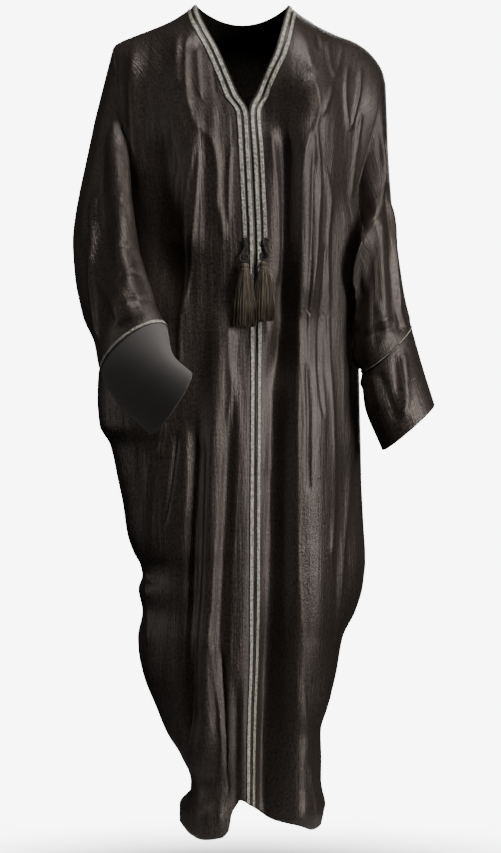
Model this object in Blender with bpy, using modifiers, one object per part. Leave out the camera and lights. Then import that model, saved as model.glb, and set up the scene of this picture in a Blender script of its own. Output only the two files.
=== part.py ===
"""A long open-sleeved abaya in dark satin crepe, worn form, with braided edges and two silk tassels.

Metres, +Z up. The front faces -Y and the wearer's right side is at -X. The origin lies at the middle of
the shoulders, where the wearer carries the garment, and the hem hangs about 1.5 m below it.
"""

import math

import bmesh
import bpy
import numpy as np
from mathutils import Matrix

MM = 0.001

# Cloth and seams
CLOTH_WALL = 1.6 * MM
SEAM_GAP = 0.3 * MM
SEAM_TURN = 2.5 * MM

# Shoulders and neck
SHOULDER_ROUND = 100 * MM
SHOULDER_Y = 10 * MM
NECK_POINT_RIGHT = -96 * MM
NECK_POINT_LEFT = 68 * MM
NECK_TOP_Z = 3 * MM
NECK_BACK_DROP = 30 * MM
NECK_V_Z = -204 * MM

# Armholes: their share of a quarter turn, and where the round of the underarm starts and ends
ARMHOLE_HALF_ANGLE = math.radians(21.5)
ARMHOLE_ROUND_Z = -430 * MM
UNDERARM_Z = -560 * MM

# Section of the body: exponent of the depth, 1 for an ellipse and less for a squarer one
SQUARENESS = 0.8

# Folds fade out where the ring's turn has a cosine under this, next to the side seam, and over this
# length in millimetres at their ends
FOLD_FADE_COS = 0.25
FOLD_FADE_LONG = 90

# Shoulder line seen from the front: x and height, in millimetres
SHOULDER_LINE = (
    (-262, -96), (-250, -80), (-240, -68), (-209, -54), (-180, -43), (-153, -32), (-117, -13),
    (-104, -3), (-96, 3), (-14, 3), (68, 2), (78, -7.5), (90, -16.5), (113, -31), (158, -53),
    (185, -63), (205, -75), (224, -95), (238, -118), (245, -140), (262, -190),
)

# Rings of the body, in millimetres: height, reach to the wearer's right and left, depth to the front
# and to the back of the side seam
BODY_RINGS = (
    # height, right, left, front, back
    (0, 265, 268, 100, 78),
    (-76, 263, 268, 112, 86),
    (-173, 250, 257, 128, 98),
    (-260, 243, 237, 136, 104),
    (-345, 231, 217, 135, 106),
    (-430, 218, 206, 131, 103),
    (-560, 221, 198, 128, 104),
    (-615, 246, 196, 129, 108),
    (-660, 273, 197, 130, 112),
    (-705, 275, 198, 133, 116),
    (-755, 271, 199, 135, 119),
    (-790, 252, 200, 136, 121),
    (-853, 238, 201, 137, 124),
    (-896, 229, 203, 138, 126),
    (-950, 221, 206, 138, 128),
    (-985, 209, 208, 139, 129),
    (-1005, 198, 208, 139, 130),
    (-1025, 194, 206, 140, 131),
    (-1048, 201, 203, 140, 132),
    (-1090, 194, 190, 140, 133),
    (-1135, 202, 168, 140, 135),
    (-1158, 201, 163, 140, 135),
    (-1200, 193, 156, 140, 136),
    (-1264, 168, 138, 140, 138),
    (-1307, 150, 123, 140, 140),
    (-1350, 122, 125, 140, 142),
    (-1390, 98, 124, 140, 143),
    (-1415, 103, 127, 140, 143),
    (-1443, 127, 133, 141, 144),
    (-1470, 127, 126, 141, 145),
    (-1500, 118, 117, 142, 145),
)

# Front edges, in millimetres: height and x
NECK_EDGE_RIGHT = ((3, -96), (-37, -82.5), (-81, -59), (-130, -37.5), (-173, -19.5), (-204, -2.6))
NECK_EDGE_LEFT = ((2, 68), (-37, 58.5), (-81, 47.5), (-130, 26.5), (-173, 9), (-204, -2.6))
CENTRE_FRONT = ((-204, -2.6), (-271, 2), (-351, 6), (-410, 8.8), (-587, 10.6), (-886, 9.4),
                (-1133, 8.1), (-1309, 3.1), (-1484, 1.6))

# Hem lines, in millimetres: x and height. They lie about the hem's own level.
HEM_Z = -1465 * MM
HEM_FRONT = ((-124, -1466), (-101, -1481), (-74, -1486), (-48, -1482), (-37, -1470), (-31, -1432),
             (-22, -1416), (5, -1428), (25, -1440), (41, -1450), (70, -1460), (104, -1472),
             (128, -1466))
HEM_BACK = ((-124, -1466), (-95, -1468), (-60, -1450), (-20, -1441), (15, -1445), (60, -1464),
            (95, -1460), (128, -1466))

# Large folds of the front, in millimetres: top, bottom, x at four even steps from top to bottom,
# half-width and height (a trough is negative)
FRONT_FOLDS = (
    # top, bottom, x0, x1, x2, x3, half-width, height
    (-160, -640, -90, -99, -108, -118, 15, 8),
    (-140, -470, -76, -59, -53, -44, 18, 8),
    (-210, -640, -147, -145, -139, -133, 30, -16),
    (-520, -1560, -27, -52, -61, -45, 18, 17),
    (-600, -1480, -12, -12, -20, -24, 20, 8),
    (-210, -520, 35, 49, 53, 51, 16, 8),
    (-200, -1560, 65, 63, 61, 43, 18, -20),
    (-200, -1560, 93, 94, 94, 90, 16, 15),
    (-200, -1230, 122, 132, 131, 122, 24, 13),
    (-720, -1340, -90, -94, -96, -90, 16, -13),
    (-960, -1560, -37, -41, -37, -33, 13, -16),
    (-1050, -1560, -102, -96, -86, -76, 26, 14),
    (-640, -1240, 162, 160, 149, 137, 13, 9),
)

# Large folds of the back: top, bottom, turn from the centre back in degrees at four even steps
# (towards the wearer's right is negative), half-width in degrees and height
BACK_FOLDS = (
    # top, bottom, turn0, turn1, turn2, turn3, half-width, height
    (-170, -1560, -44, -42, -44, -48, 7, 17),
    (-240, -1560, -24, -22, -20, -22, 6, 15),
    (-150, -1560, -6, -3, 2, 4, 6, 18),
    (-260, -1560, 16, 20, 24, 26, 6, 14),
    (-180, -1560, 40, 43, 46, 50, 7, 18),
    (-520, -1560, -68, -66, -64, -66, 6, 13),
    (-560, -1560, 64, 66, 68, 70, 6, 13),
    (-420, -1560, -33, -32, -32, -35, 5, -12),
    (-380, -1560, 30, 31, 35, 38, 5, -12),
)

# Guide sections of each sleeve and cuff, in millimetres, a row from the upper arm to the cuff's rim.
# Each holds the outer, front, inner and back point of its ring. Row 4 is the cuff seam.
SLEEVE_RIGHT = (
    # outer, front, inner, back
    ((-288, -6, -248), (-214, -92, -385), (-223, -42, -573), (-273, 72, -400)),
    ((-307, -28, -400), (-200, -120, -445), (-217, -64, -591), (-294, 34, -500)),
    ((-288, -95, -495), (-184, -152, -496), (-208, -88, -608), (-283, -22, -568)),
    ((-258, -156, -560), (-167, -188, -543), (-194, -110, -623), (-264, -74, -628)),
    ((-232, -206, -616), (-150, -214, -579), (-177, -132, -639), (-254, -124, -676)),
    ((-186, -240, -671), (-134, -246, -631), (-171, -160, -674), (-232, -154, -716)),
    ((-128, -266, -724), (-100, -272, -664), (-146, -190, -713), (-174, -182, -771)),
)
SLEEVE_LEFT = (
    # outer, front, inner, back
    ((250, 0, -300), (222, -84, -420), (200, -28, -573), (226, 74, -430)),
    ((262, -10, -420), (228, -95, -495), (196, -46, -591), (237, 62, -500)),
    ((276, -20, -520), (234, -100, -560), (195, -56, -615), (243, 44, -572)),
    ((284, -28, -557), (243, -102, -595), (196, -60, -640), (244, 32, -596)),
    ((289, -35, -579), (251, -104, -625), (199, -62, -661), (244, 20, -615)),
    ((308, -46, -648), (259, -112, -688), (203, -66, -716), (254, 6, -674)),
    ((329, -56, -717), (287, -116, -761), (235, -70, -799), (278, -6, -750)),
)
CUFF_SEAM_ROW = 4
CUFF_SEAM_STEP = 0.05

# Places along the guide sections where each ring of the sleeve and cuff lies. Between -1 and 0.5 the ring
# turns from the armhole's shape into the section's.
SLEEVE_PLACES = (-0.9, -0.65, -0.3, 0.1, 0.5, 1, 1.5, 2, 2.6, 3.3)
CUFF_PLACES = (4.5, 5.0, 5.5, 6.0)
SLEEVE_HEAD_START = -1
SLEEVE_HEAD_SPAN = 1.5
SLEEVE_HEAD_STRAIGHT = 12 * MM

# Braid
BRAID_THICK = 1.2 * MM
BRAID_EDGES = (2.5 * MM, 10.5 * MM, 14 * MM, 22 * MM)
BRAID_OUTER_END_Z = -427 * MM
BRAID_LIFT = 0.6 * MM
NECK_BRAID_LIFT = 1.4 * MM
CUFF_BRAID_WIDE = 7.5 * MM
NECK_BRAID_STEPS = 20
SURFACE_STEP = 0.5 * MM

# Tassels: x and height of the head's top, length down to the ends of the strands
TASSEL_RIGHT = (-9 * MM, -469 * MM, 113 * MM)
TASSEL_LEFT = (24 * MM, -466 * MM, 106 * MM)
TASSEL_HEAD_RADIUS = 7 * MM
TASSEL_HEAD_TALL = 15 * MM
TASSEL_HEAD_SIDES = 12
TASSEL_FLATNESS = 0.8
TASSEL_SPREAD = 18.5 * MM
TASSEL_DEEP = 5 * MM
TASSEL_COLUMNS = 9
TASSEL_LAYERS = 3
TASSEL_CLEAR = 0.5 * MM
TASSEL_OVER_COLUMNS = 7
TASSEL_OVER_TALL = 40 * MM

# Head of a tassel: share of its radius and share of its height, down from the top. It has a waist.
TASSEL_PROFILE = (
    # out, down
    (0.0, 0.0), (0.55, 0.0), (0.95, 0.16), (1.0, 0.4), (0.62, 0.62), (0.8, 0.8), (0.92, 1.0), (0.0, 1.0),
)

# Strands: where they root in the head, as shares of its radius and height, and how far they bow out
STRAND_RADIUS = 0.9 * MM
STRAND_ROOT_OUT = 0.55
STRAND_ROOT_DOWN = 0.8
STRAND_ROOT_DEEP = 1.9 * MM
STRAND_BOW_OUT = 5.5 * MM
STRAND_BOW_DEEP = 1.2 * MM
STRAND_BOW_AT = 0.45
STRAND_UNEVEN = 0.05

# Ties: cord, its straight start, and the open loop it makes on its way to the tassel
TIE_RADIUS = 1.6 * MM
TIE_LOOP = 7.5 * MM
TIE_START = 8 * MM
TIE_SHIFT = 1.5 * MM
TIE_LIFT = 0.1 * MM
TIE_FORWARD = TASSEL_HEAD_RADIUS - TIE_RADIUS
TIE_POINTS = 11
TIE_FIRST_TURN = math.radians(47.5)
TIE_LAST_TURN = math.radians(322.5)


def follow(rows, at):
    """Values along a smooth curve through rows of (place, value, ...), which never swings past a row.

    Between two rows it is the cubic that has each row's slope, the harmonic mean of the slopes beside it.
    """
    rows = np.asarray(rows, float)
    if rows[0, 0] > rows[-1, 0]:
        rows = rows[::-1]
    place, value = rows[:, 0], rows[:, 1:]
    step = np.diff(place)[:, None]
    rise = np.diff(value, axis=0) / step
    product = rise[:-1] * rise[1:]
    total = rise[:-1] + rise[1:]
    middle = np.where(product > 0, 2 * product / np.where(product > 0, total, 1), 0)
    slope = np.vstack([rise[:1], middle, rise[-1:]])
    at = np.clip(np.asarray(at, float), place[0], place[-1])
    i = np.clip(np.searchsorted(place, at) - 1, 0, len(place) - 2)
    t = ((at - place[i]) / step[i, 0])[..., None]
    width = step[i]
    found = (
        (1 + 2 * t) * (1 - t) ** 2 * value[i]
        + t * (1 - t) ** 2 * width * slope[i]
        + t**2 * (3 - 2 * t) * value[i + 1]
        + t**2 * (t - 1) * width * slope[i + 1]
    )
    return found[..., 0] if found.shape[-1] == 1 else found


def ease(t):
    """0 to 1 with flat ends, as t goes from 0 to 1."""
    t = np.clip(t, 0, 1)
    return t * t * (3 - 2 * t)


def shoulder_height(x):
    return follow(SHOULDER_LINE, x / MM) * MM


def ring_reach(phi, z):
    """Half-width of the ring at height z, on the side that phi is on."""
    rings = follow(BODY_RINGS, z / MM) * MM
    return np.where(phi < 0, rings[..., 0], rings[..., 1])


def ring_depth(z, facing):
    """Depth of the ring at height z, to the front where facing is -1 and to the back where it is 1."""
    rings = follow(BODY_RINGS, z / MM) * MM
    return rings[..., 2] if facing < 0 else rings[..., 3]


def fold_height(folds, along, z):
    """Sum of the folds: each a bell across, on a path of four points, that fades in and out at its ends."""
    total = np.zeros(np.broadcast(along, z).shape)
    for top, bottom, first, second, third, fourth, half_width, height in folds:
        steps = np.linspace(bottom, top, 4)
        path = follow(np.column_stack([steps, (fourth, third, second, first)]), z / MM)
        fade = ease((top - z / MM) / FOLD_FADE_LONG) * ease((z / MM - bottom) / FOLD_FADE_LONG)
        total += height * MM * fade * np.exp(-(((along - path) / half_width) ** 2))
    return total


def body_point(phi, z, fullness, facing):
    """Outer surface of the body at height z and turn phi from the centre front, or back where facing is 1.

    x is the reach times sin(phi), and y the depth times cos(phi) to the squareness, drawn in to the
    shoulder line by the fullness. The folds are added along the ring's outward direction.
    """
    phi, z, fullness = np.broadcast_arrays(phi, z, fullness)
    reach = ring_reach(phi, z)
    depth = ring_depth(z, facing)
    x = reach * np.sin(phi)
    across = depth * np.cos(phi).clip(0) ** SQUARENESS
    out = np.stack([np.sin(phi) / reach, facing * np.cos(phi) / depth], axis=-1)
    out /= np.linalg.norm(out, axis=-1, keepdims=True)
    if facing < 0:
        fold = fold_height(FRONT_FOLDS, x / MM, z)
    else:
        fold = fold_height(BACK_FOLDS, np.degrees(phi), z)
    fold = fold * fullness * ease(np.cos(phi) / FOLD_FADE_COS)
    x = x + fold * out[..., 0]
    half_gap = SEAM_GAP / 2 * (2 - fullness)
    y = SHOULDER_Y + facing * (half_gap + across * fullness) + fold * out[..., 1]
    return np.stack([x, y, z], axis=-1)


def drop_after(arc):
    """Height lost after going this far down the cloth from the shoulder line."""
    turn = np.minimum(arc / SHOULDER_ROUND, math.pi / 2)
    straight = np.maximum(arc - SHOULDER_ROUND * math.pi / 2, 0)
    return SHOULDER_ROUND * (1 - np.cos(turn)) + straight


def fullness_after(arc):
    """Share of the full depth reached after going this far down from the shoulder line."""
    return np.sin(np.minimum(arc / SHOULDER_ROUND, math.pi / 2))


def arc_for(drop):
    """Way down the cloth that loses this height."""
    turn = np.arccos(np.clip(1 - drop / SHOULDER_ROUND, 0, 1))
    return SHOULDER_ROUND * turn + np.maximum(drop - SHOULDER_ROUND, 0)


# Rows of the body panels. The first ones turn over the shoulder and end at the point of the V.
SHOULDER_TURNS = np.array([0, 0.025, 0.2, 0.42, 0.66, 0.95, 1.25, 1.57, 1.9, 2.22])
ROWS_TO_UNDERARM = 4
ROWS_TO_HEM = 15
SIDE_DROP_SHARE = 1.09
SIDE_SETTLING = 40
UNDERARM_ROW = len(SHOULDER_TURNS) + ROWS_TO_UNDERARM
SETTLE_ROW = 7
SCOOP_ROWS = 6
HEM_FADE_Z = -1120 * MM
PANEL_WIDE = 260 * MM
PANEL_COLUMNS = 12

# Back: way down the cloth from the neck's edge to each of its first rows at the centre, in metres, and
# columns from the centre to the neck point and on to the side
BACK_NECK_ROWS = np.array([0, 12, 45, 85, 125, 170, 215, 260, 310, 360]) * MM
BACK_NECK_COLUMNS = 5
BACK_SIDE_COLUMNS = 8
BACK_SIDE_SPREAD = 1.4


def armhole_half_angle(z):
    """Turn between the side line and the armhole's edge: even, then closing as an ellipse at the underarm."""
    down = np.clip((ARMHOLE_ROUND_Z - z) / (ARMHOLE_ROUND_Z - UNDERARM_Z), 0, 1)
    return ARMHOLE_HALF_ANGLE * np.sqrt(1 - down**2)


def side_turn(phi_sign, z):
    """Turn of a panel's side edge at height z: the armhole's edge, then the side seam."""
    return phi_sign * (math.pi / 2 - armhole_half_angle(z))


def side_rows(phi_sign):
    """Heights of the rows at the side edge, from the shoulder tip down."""
    heights = []
    for turn in SHOULDER_TURNS * SIDE_DROP_SHARE:
        z = -SHOULDER_ROUND
        for _ in range(SIDE_SETTLING):
            phi = phi_sign * (math.pi / 2 - ARMHOLE_HALF_ANGLE)
            x = ring_reach(phi, z) * math.sin(phi)
            z = 0.5 * z + 0.5 * (shoulder_height(x) - drop_after(SHOULDER_ROUND * turn))
        heights.append(float(z))
    low = np.linspace(heights[-1], UNDERARM_Z, ROWS_TO_UNDERARM + 2)[1:]
    return np.concatenate([heights, low])


def lower_rows():
    return np.linspace(UNDERARM_Z, HEM_Z, ROWS_TO_HEM + 1)[1:]


def even_steps():
    """Shares of a row from 0 to 1, with one close to the side seam that turns the wall square to it."""
    even = np.linspace(0, 1, PANEL_COLUMNS + 1)[:-1]
    return np.concatenate([even, [1 - SEAM_TURN / PANEL_WIDE, 1]])


def braided_steps(grid, steps):
    """Shares of each row: columns on the braids' edges, square to the front edge, then the even ones."""
    tangent = unit(np.gradient(grid[:, 0], axis=0))
    across = unit(grid[:, 1] - grid[:, 0])
    square = np.sqrt(1 - np.sum(tangent * across, axis=-1) ** 2)
    travelled = np.cumsum(np.linalg.norm(np.diff(grid, axis=1), axis=-1), axis=1)
    spread = (steps[2:] - steps[2]) / (1 - steps[2])
    rows = []
    for row in range(len(grid)):
        way = np.concatenate([[0], travelled[row]])
        edges = np.interp(np.array(BRAID_EDGES) / square[row], way, steps)
        first = edges[-1] + (1 - edges[-1]) / len(spread)
        rows.append(np.concatenate([[0], edges, first + (1 - first) * spread]))
    return np.array(rows)


def hem_height(x, facing):
    return follow(HEM_FRONT if facing < 0 else HEM_BACK, x / MM) * MM


def neck_scoop(x):
    """Way down the cloth from the shoulder line to the back neck's edge, which is a parabola in height."""
    middle = (NECK_POINT_LEFT + NECK_POINT_RIGHT) / 2
    half = (NECK_POINT_LEFT - NECK_POINT_RIGHT) / 2
    inside = np.clip(1 - ((x - middle) / half) ** 2, 0, 1)
    return arc_for(NECK_BACK_DROP * inside)


def panel_rows(centre_x, centre_z, side_z, phi_sign, facing, shares):
    """Grid of a half panel, rows from the shoulder to the hem, columns from the centre to the side."""
    side_phi = side_turn(phi_sign, side_z)
    side_x = ring_reach(side_phi, side_z) * np.sin(side_phi)
    centre_phi = np.arcsin(centre_x / ring_reach(np.sign(centre_x) + 0.0, centre_z))
    side_arc = arc_for(shoulder_height(side_x) - side_z)
    side_arc[0] = 0
    centre_arc = arc_for(np.maximum(shoulder_height(centre_x) - centre_z, 0))
    neck_arc = centre_arc[0]
    points = []
    for row in range(len(side_z)):
        steps = shares[row]
        phi = centre_phi[row] + (side_phi[row] - centre_phi[row]) * steps
        flat = centre_z[row] + (side_z[row] - centre_z[row]) * steps
        arc = centre_arc[row] + (side_arc[row] - centre_arc[row]) * steps
        x = ring_reach(phi, flat) * np.sin(phi)
        if neck_arc > 0:
            own = (centre_arc[row] - neck_arc) * (1 - steps) + side_arc[row] * steps
            fade = 1 - ease(row / SCOOP_ROWS)
            arc = neck_scoop(x) * fade + own + neck_arc * (1 - fade) * (1 - steps)
        settle = ease((row - SETTLE_ROW) / (UNDERARM_ROW - SETTLE_ROW))
        z = (1 - settle) * (shoulder_height(x) - drop_after(arc)) + settle * flat
        fullness = (1 - settle) * fullness_after(arc) + settle
        fade = ease((HEM_FADE_Z - flat) / (HEM_FADE_Z - HEM_Z))
        z = z + fade * (hem_height(x, facing) - HEM_Z)
        points.append(body_point(phi, z, fullness, facing))
    return np.array(points)


def front_panel(phi_sign):
    """Grid of one front: rows from the shoulder to the hem, columns from the front edge to the side."""
    neck = NECK_EDGE_RIGHT if phi_sign < 0 else NECK_EDGE_LEFT
    top = neck[0][0] * MM
    v_share = (top - NECK_V_Z - SHOULDER_ROUND) / SHOULDER_ROUND + math.pi / 2
    turns = SHOULDER_TURNS * v_share / SHOULDER_TURNS[-1]
    neck_z = top - drop_after(SHOULDER_ROUND * turns)
    low = np.linspace(NECK_V_Z, UNDERARM_Z, ROWS_TO_UNDERARM + 2)[1:]
    centre_z = np.concatenate([neck_z, low, lower_rows()])
    neck_x = follow(neck, neck_z / MM) * MM
    centre_x = follow(CENTRE_FRONT, centre_z[len(neck_z):] / MM) * MM
    centre_x = np.concatenate([neck_x, centre_x]) + phi_sign * SEAM_GAP / 2
    side_z = np.concatenate([side_rows(phi_sign), lower_rows()])
    steps = even_steps()
    plain = panel_rows(centre_x, centre_z, side_z, phi_sign, -1, [steps] * len(side_z))
    return panel_rows(centre_x, centre_z, side_z, phi_sign, -1, braided_steps(plain, steps))


def back_panel():
    """Grid of the back: rows from the shoulders to the hem, columns from the wearer's right to the left."""
    upper = NECK_TOP_Z - NECK_BACK_DROP - BACK_NECK_ROWS
    low = np.linspace(upper[-1], UNDERARM_Z, ROWS_TO_UNDERARM + 2)[1:]
    centre_z = np.concatenate([upper, low, lower_rows()])
    centre_x = np.zeros(len(centre_z))
    halves = []
    for phi_sign, neck_point in ((-1, NECK_POINT_RIGHT), (1, NECK_POINT_LEFT)):
        side_z = np.concatenate([side_rows(phi_sign), lower_rows()])
        neck_turn = math.asin(neck_point / ring_reach(phi_sign, 0))
        neck_share = neck_turn / side_turn(phi_sign, 0)
        to_neck = neck_share * np.sin(np.linspace(0, math.pi / 2, BACK_NECK_COLUMNS + 1))
        spread = np.linspace(0, 1, BACK_SIDE_COLUMNS + 1)[1:-1] ** BACK_SIDE_SPREAD
        to_side = neck_share + (1 - neck_share) * spread
        steps = np.concatenate([to_neck, to_side, [1 - SEAM_TURN / PANEL_WIDE, 1]])
        halves.append(panel_rows(centre_x, centre_z, side_z, phi_sign, 1, [steps] * len(side_z)))
    return np.concatenate([halves[0][:, ::-1], halves[1][:, 1:]], axis=1)


def upper_back(x, arc):
    """Point of the back's outer surface at x, this way down the cloth from the shoulder line."""
    z = shoulder_height(x) - drop_after(arc)
    phi = np.arcsin(x / ring_reach(x, z))
    return body_point(phi, z, fullness_after(arc), 1)


def neck_braid(near, far):
    """A braid's outer surface along the back neck, between two distances from the neck's edge.

    Each point is found on the cloth square to the edge, then moved out.
    """
    middle = (NECK_POINT_LEFT + NECK_POINT_RIGHT) / 2
    half = (NECK_POINT_LEFT - NECK_POINT_RIGHT) / 2
    turns = np.linspace(-math.pi / 2, math.pi / 2, NECK_BRAID_STEPS + 1)
    x = middle + half * np.sin(turns)
    arc = arc_for(NECK_BACK_DROP * np.cos(turns) ** 2)
    edge = upper_back(x, arc)
    along = unit(np.gradient(edge, axis=0))
    along[[0, -1]] = unit(edge[[1, -1]] - edge[[0, -2]])
    step = SURFACE_STEP
    by_x = (upper_back(x + step, arc) - upper_back(x - step, arc)) / (2 * step)
    by_arc = (upper_back(x, arc + 2 * step) - upper_back(x, arc + step)) / step
    across = unit(np.cross(along, np.cross(by_x, by_arc)))
    across *= np.sign(np.sum(across * by_arc * np.cos(turns)[:, None], axis=-1, keepdims=True)
                      + np.sum(across * by_x * np.sin(turns)[:, None], axis=-1, keepdims=True))
    across[[0, -1]] = unit(by_x[[0, -1]]) * np.array([[-1], [1]])
    way_x = np.sum(across * by_x, axis=-1) / np.sum(by_x**2, axis=-1)
    way_arc = np.sum(across * by_arc, axis=-1) / np.sum(by_arc**2, axis=-1)
    rows = []
    for distance in (near, far):
        there = x + way_x * distance
        down = np.maximum(arc + way_arc * distance, 0)
        ahead = upper_back(there + step, down) - upper_back(there - step, down)
        below = upper_back(there, down + 2 * step) - upper_back(there, down + step)
        out = unit(np.cross(ahead, below))
        rows.append(upper_back(there, down) + out * (NECK_BRAID_LIFT + BRAID_THICK))
    return np.array(rows)


def grid_normals(grid):
    """Unit normals of a grid of points, along the cross product of its row and column directions."""
    return unit(np.cross(np.gradient(grid, axis=1), np.gradient(grid, axis=0)))


def ring_normals(rings):
    """Unit normals of rings of points, each ring closed."""
    around = np.roll(rings, -1, axis=1) - np.roll(rings, 1, axis=1)
    return unit(np.cross(around, np.gradient(rings, axis=0)))


def colour_material(name, colour, roughness, metallic=0.0):
    made = bpy.data.materials.new(name)
    made.use_nodes = True
    shader = made.node_tree.nodes["Principled BSDF"]
    shader.inputs["Base Color"].default_value = (*colour, 1)
    shader.inputs["Roughness"].default_value = roughness
    shader.inputs["Metallic"].default_value = metallic
    return made


def add_wall(name, grid, thickness, material, outward, closed=False):
    """A grid of points as an open surface, made a wall by Solidify, which grows it inwards."""
    rows, columns = grid.shape[:2]
    number = np.arange(rows * columns).reshape(rows, columns)
    if closed:
        number = np.column_stack([number, number[:, 0]])
    quads = np.stack([number[:-1, :-1], number[:-1, 1:], number[1:, 1:], number[1:, :-1]], axis=-1)
    quads = quads.reshape(-1, 4)
    if outward < 0:
        quads = quads[:, ::-1]
    mesh = bpy.data.meshes.new(name)
    mesh.from_pydata(grid.reshape(-1, 3).tolist(), [], quads.tolist())
    mesh.shade_smooth()
    made = bpy.data.objects.new(name, mesh)
    garment.objects.link(made)
    mesh.materials.append(material)
    wall = made.modifiers.new("wall", "SOLIDIFY")
    wall.thickness = thickness
    wall.offset = -1
    wall.use_quality_normals = True
    return made


def braid_strip(grid, first_column, outward, end_z=None):
    """A braid's outer surface on a front panel: two columns of the panel's points, moved out."""
    strip = grid[:, first_column:first_column + 2]
    out = grid_normals(grid)[:, first_column:first_column + 2] * outward
    strip = strip + out * (BRAID_LIFT + BRAID_THICK)
    if end_z is not None:
        last = int(np.searchsorted(-strip[:, 1, 2], -end_z))
        share = (end_z - strip[last - 1, 1, 2]) / (strip[last, 1, 2] - strip[last - 1, 1, 2])
        end = strip[last - 1] + (strip[last] - strip[last - 1]) * share
        strip = np.concatenate([strip[:last], end[None]])
    return strip


def unit(vectors):
    return vectors / np.linalg.norm(vectors, axis=-1, keepdims=True)


def armhole_loop(front, rear):
    """The armhole's edge from the shoulder tip down the front and up the back, and the way on past it.

    Both panels come with their columns running to the side. The way on lies in the cloth, square to the edge.
    """
    last = UNDERARM_ROW
    loop = np.concatenate([front[: last + 1, -1], rear[1:last, -1][::-1]])
    along = unit(np.roll(loop, -1, axis=0) - np.roll(loop, 1, axis=0))
    onward = np.concatenate([
        unit(front[: last + 1, -1] - front[: last + 1, -2]),
        unit(rear[1:last, -1] - rear[1:last, -2])[::-1],
    ])
    onward[last] = (0, 0, 1)
    onward -= along * np.sum(along * onward, axis=-1, keepdims=True)
    return loop, unit(onward)


def sleeve_turns(loop):
    """Each loop point's turn from the shoulder tip, by its way along the front and back edges."""
    last = UNDERARM_ROW
    closed = np.concatenate([loop, loop[:1]])
    way = np.concatenate([[0], np.cumsum(np.linalg.norm(np.diff(closed, axis=0), axis=-1))])
    front = -math.pi * way[: last + 1] / way[last]
    back = math.pi * (way[-1] - way[last + 1:-1]) / (way[-1] - way[last])
    return np.concatenate([front, back])


def guide_ring(sections, place, turns):
    """Ring at a place along the sections, through its outer, front, inner and back point.

    It is their mean, plus a first harmonic through each opposite pair and a second one for the rest.
    """
    table = np.array(sections, float).reshape(len(sections), 12) * MM
    rows = np.column_stack([np.arange(len(sections)), table])
    outer, front, inner, rear = follow(rows, place).reshape(4, 3)
    turns = turns[:, None]
    return (
        (outer + front + inner + rear) / 4
        + (outer - inner) / 2 * np.cos(turns)
        + (rear - front) / 2 * np.sin(turns)
        + (outer + inner - front - rear) / 4 * np.cos(2 * turns)
    )


def sleeve_rings(sections, loop, onward, turns):
    """Rings of a sleeve, from its seam with the body to its seam with the cuff, and rings of the cuff."""
    rings = [loop + onward * SEAM_GAP, loop + onward * SEAM_TURN]
    for place in SLEEVE_PLACES:
        share = (place - SLEEVE_HEAD_START) / SLEEVE_HEAD_SPAN
        section = guide_ring(sections, max(place, 0), turns)
        start = loop + onward * (SEAM_TURN + share * SLEEVE_HEAD_STRAIGHT)
        rings.append(start + (section - start) * ease(share))
    seam = guide_ring(sections, CUFF_SEAM_ROW, turns)
    above = guide_ring(sections, CUFF_SEAM_ROW - CUFF_SEAM_STEP, turns)
    below = guide_ring(sections, CUFF_SEAM_ROW + CUFF_SEAM_STEP, turns)
    onward = unit(below - above)
    rings += [seam - onward * SEAM_TURN, seam - onward * SEAM_GAP / 2]
    cuff = [seam + onward * SEAM_GAP / 2, seam + onward * SEAM_TURN]
    cuff += [guide_ring(sections, place, turns) for place in CUFF_PLACES]
    return np.array(rings), np.array(cuff)


def cuff_braid(sleeve, outward):
    """The outer surface of the braid round the end of a sleeve: a band of the sleeve's points, moved out."""
    upper = sleeve[-2] + unit(sleeve[-3] - sleeve[-2]) * (CUFF_BRAID_WIDE - SEAM_TURN)
    band = np.array([upper, sleeve[-2], sleeve[-1]])
    return band + ring_normals(band) * outward * (BRAID_LIFT + BRAID_THICK)


def strand(root, tip, bow):
    """One three-sided strand, as points and faces, bowed a little on its way."""
    steps = np.array([0, STRAND_BOW_AT, 1])
    axis = root + (tip - root) * steps[:, None]
    axis[1] += bow
    angles = np.arange(3) * 2 * math.pi / 3
    circle = np.stack([np.cos(angles), np.sin(angles), 0 * angles], axis=-1) * STRAND_RADIUS
    points = (axis[:, None] + circle[None]).reshape(-1, 3)
    faces = [(0, 1, 2), (8, 7, 6)]
    for ring in (0, 3):
        for side in range(3):
            after = (side + 1) % 3
            faces.append((ring + 3 + side, ring + 3 + after, ring + after, ring + side))
    return points, faces


def tassel_head(name, x, y, top, material):
    """A tassel's head: its profile turned about its own axis, then flattened."""
    form = bmesh.new()
    corners = []
    for out, down in TASSEL_PROFILE:
        corners.append(form.verts.new((out * TASSEL_HEAD_RADIUS, 0, -down * TASSEL_HEAD_TALL)))
    for first, second in zip(corners, corners[1:]):
        form.edges.new((first, second))
    bmesh.ops.spin(form, geom=list(form.verts) + list(form.edges), axis=(0, 0, 1), cent=(0, 0, 0),
                   angle=2 * math.pi, steps=TASSEL_HEAD_SIDES, use_merge=True)
    bmesh.ops.remove_doubles(form, verts=form.verts, dist=1e-6)
    bmesh.ops.recalc_face_normals(form, faces=form.faces)
    mesh = bpy.data.meshes.new(name)
    form.to_mesh(mesh)
    form.free()
    mesh.transform(Matrix.Translation((x, y, top)) @ Matrix.Diagonal((1, TASSEL_FLATNESS, 1, 1)))
    mesh.materials.append(material)
    head = bpy.data.objects.new(name, mesh)
    garment.objects.link(head)
    return head


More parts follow.
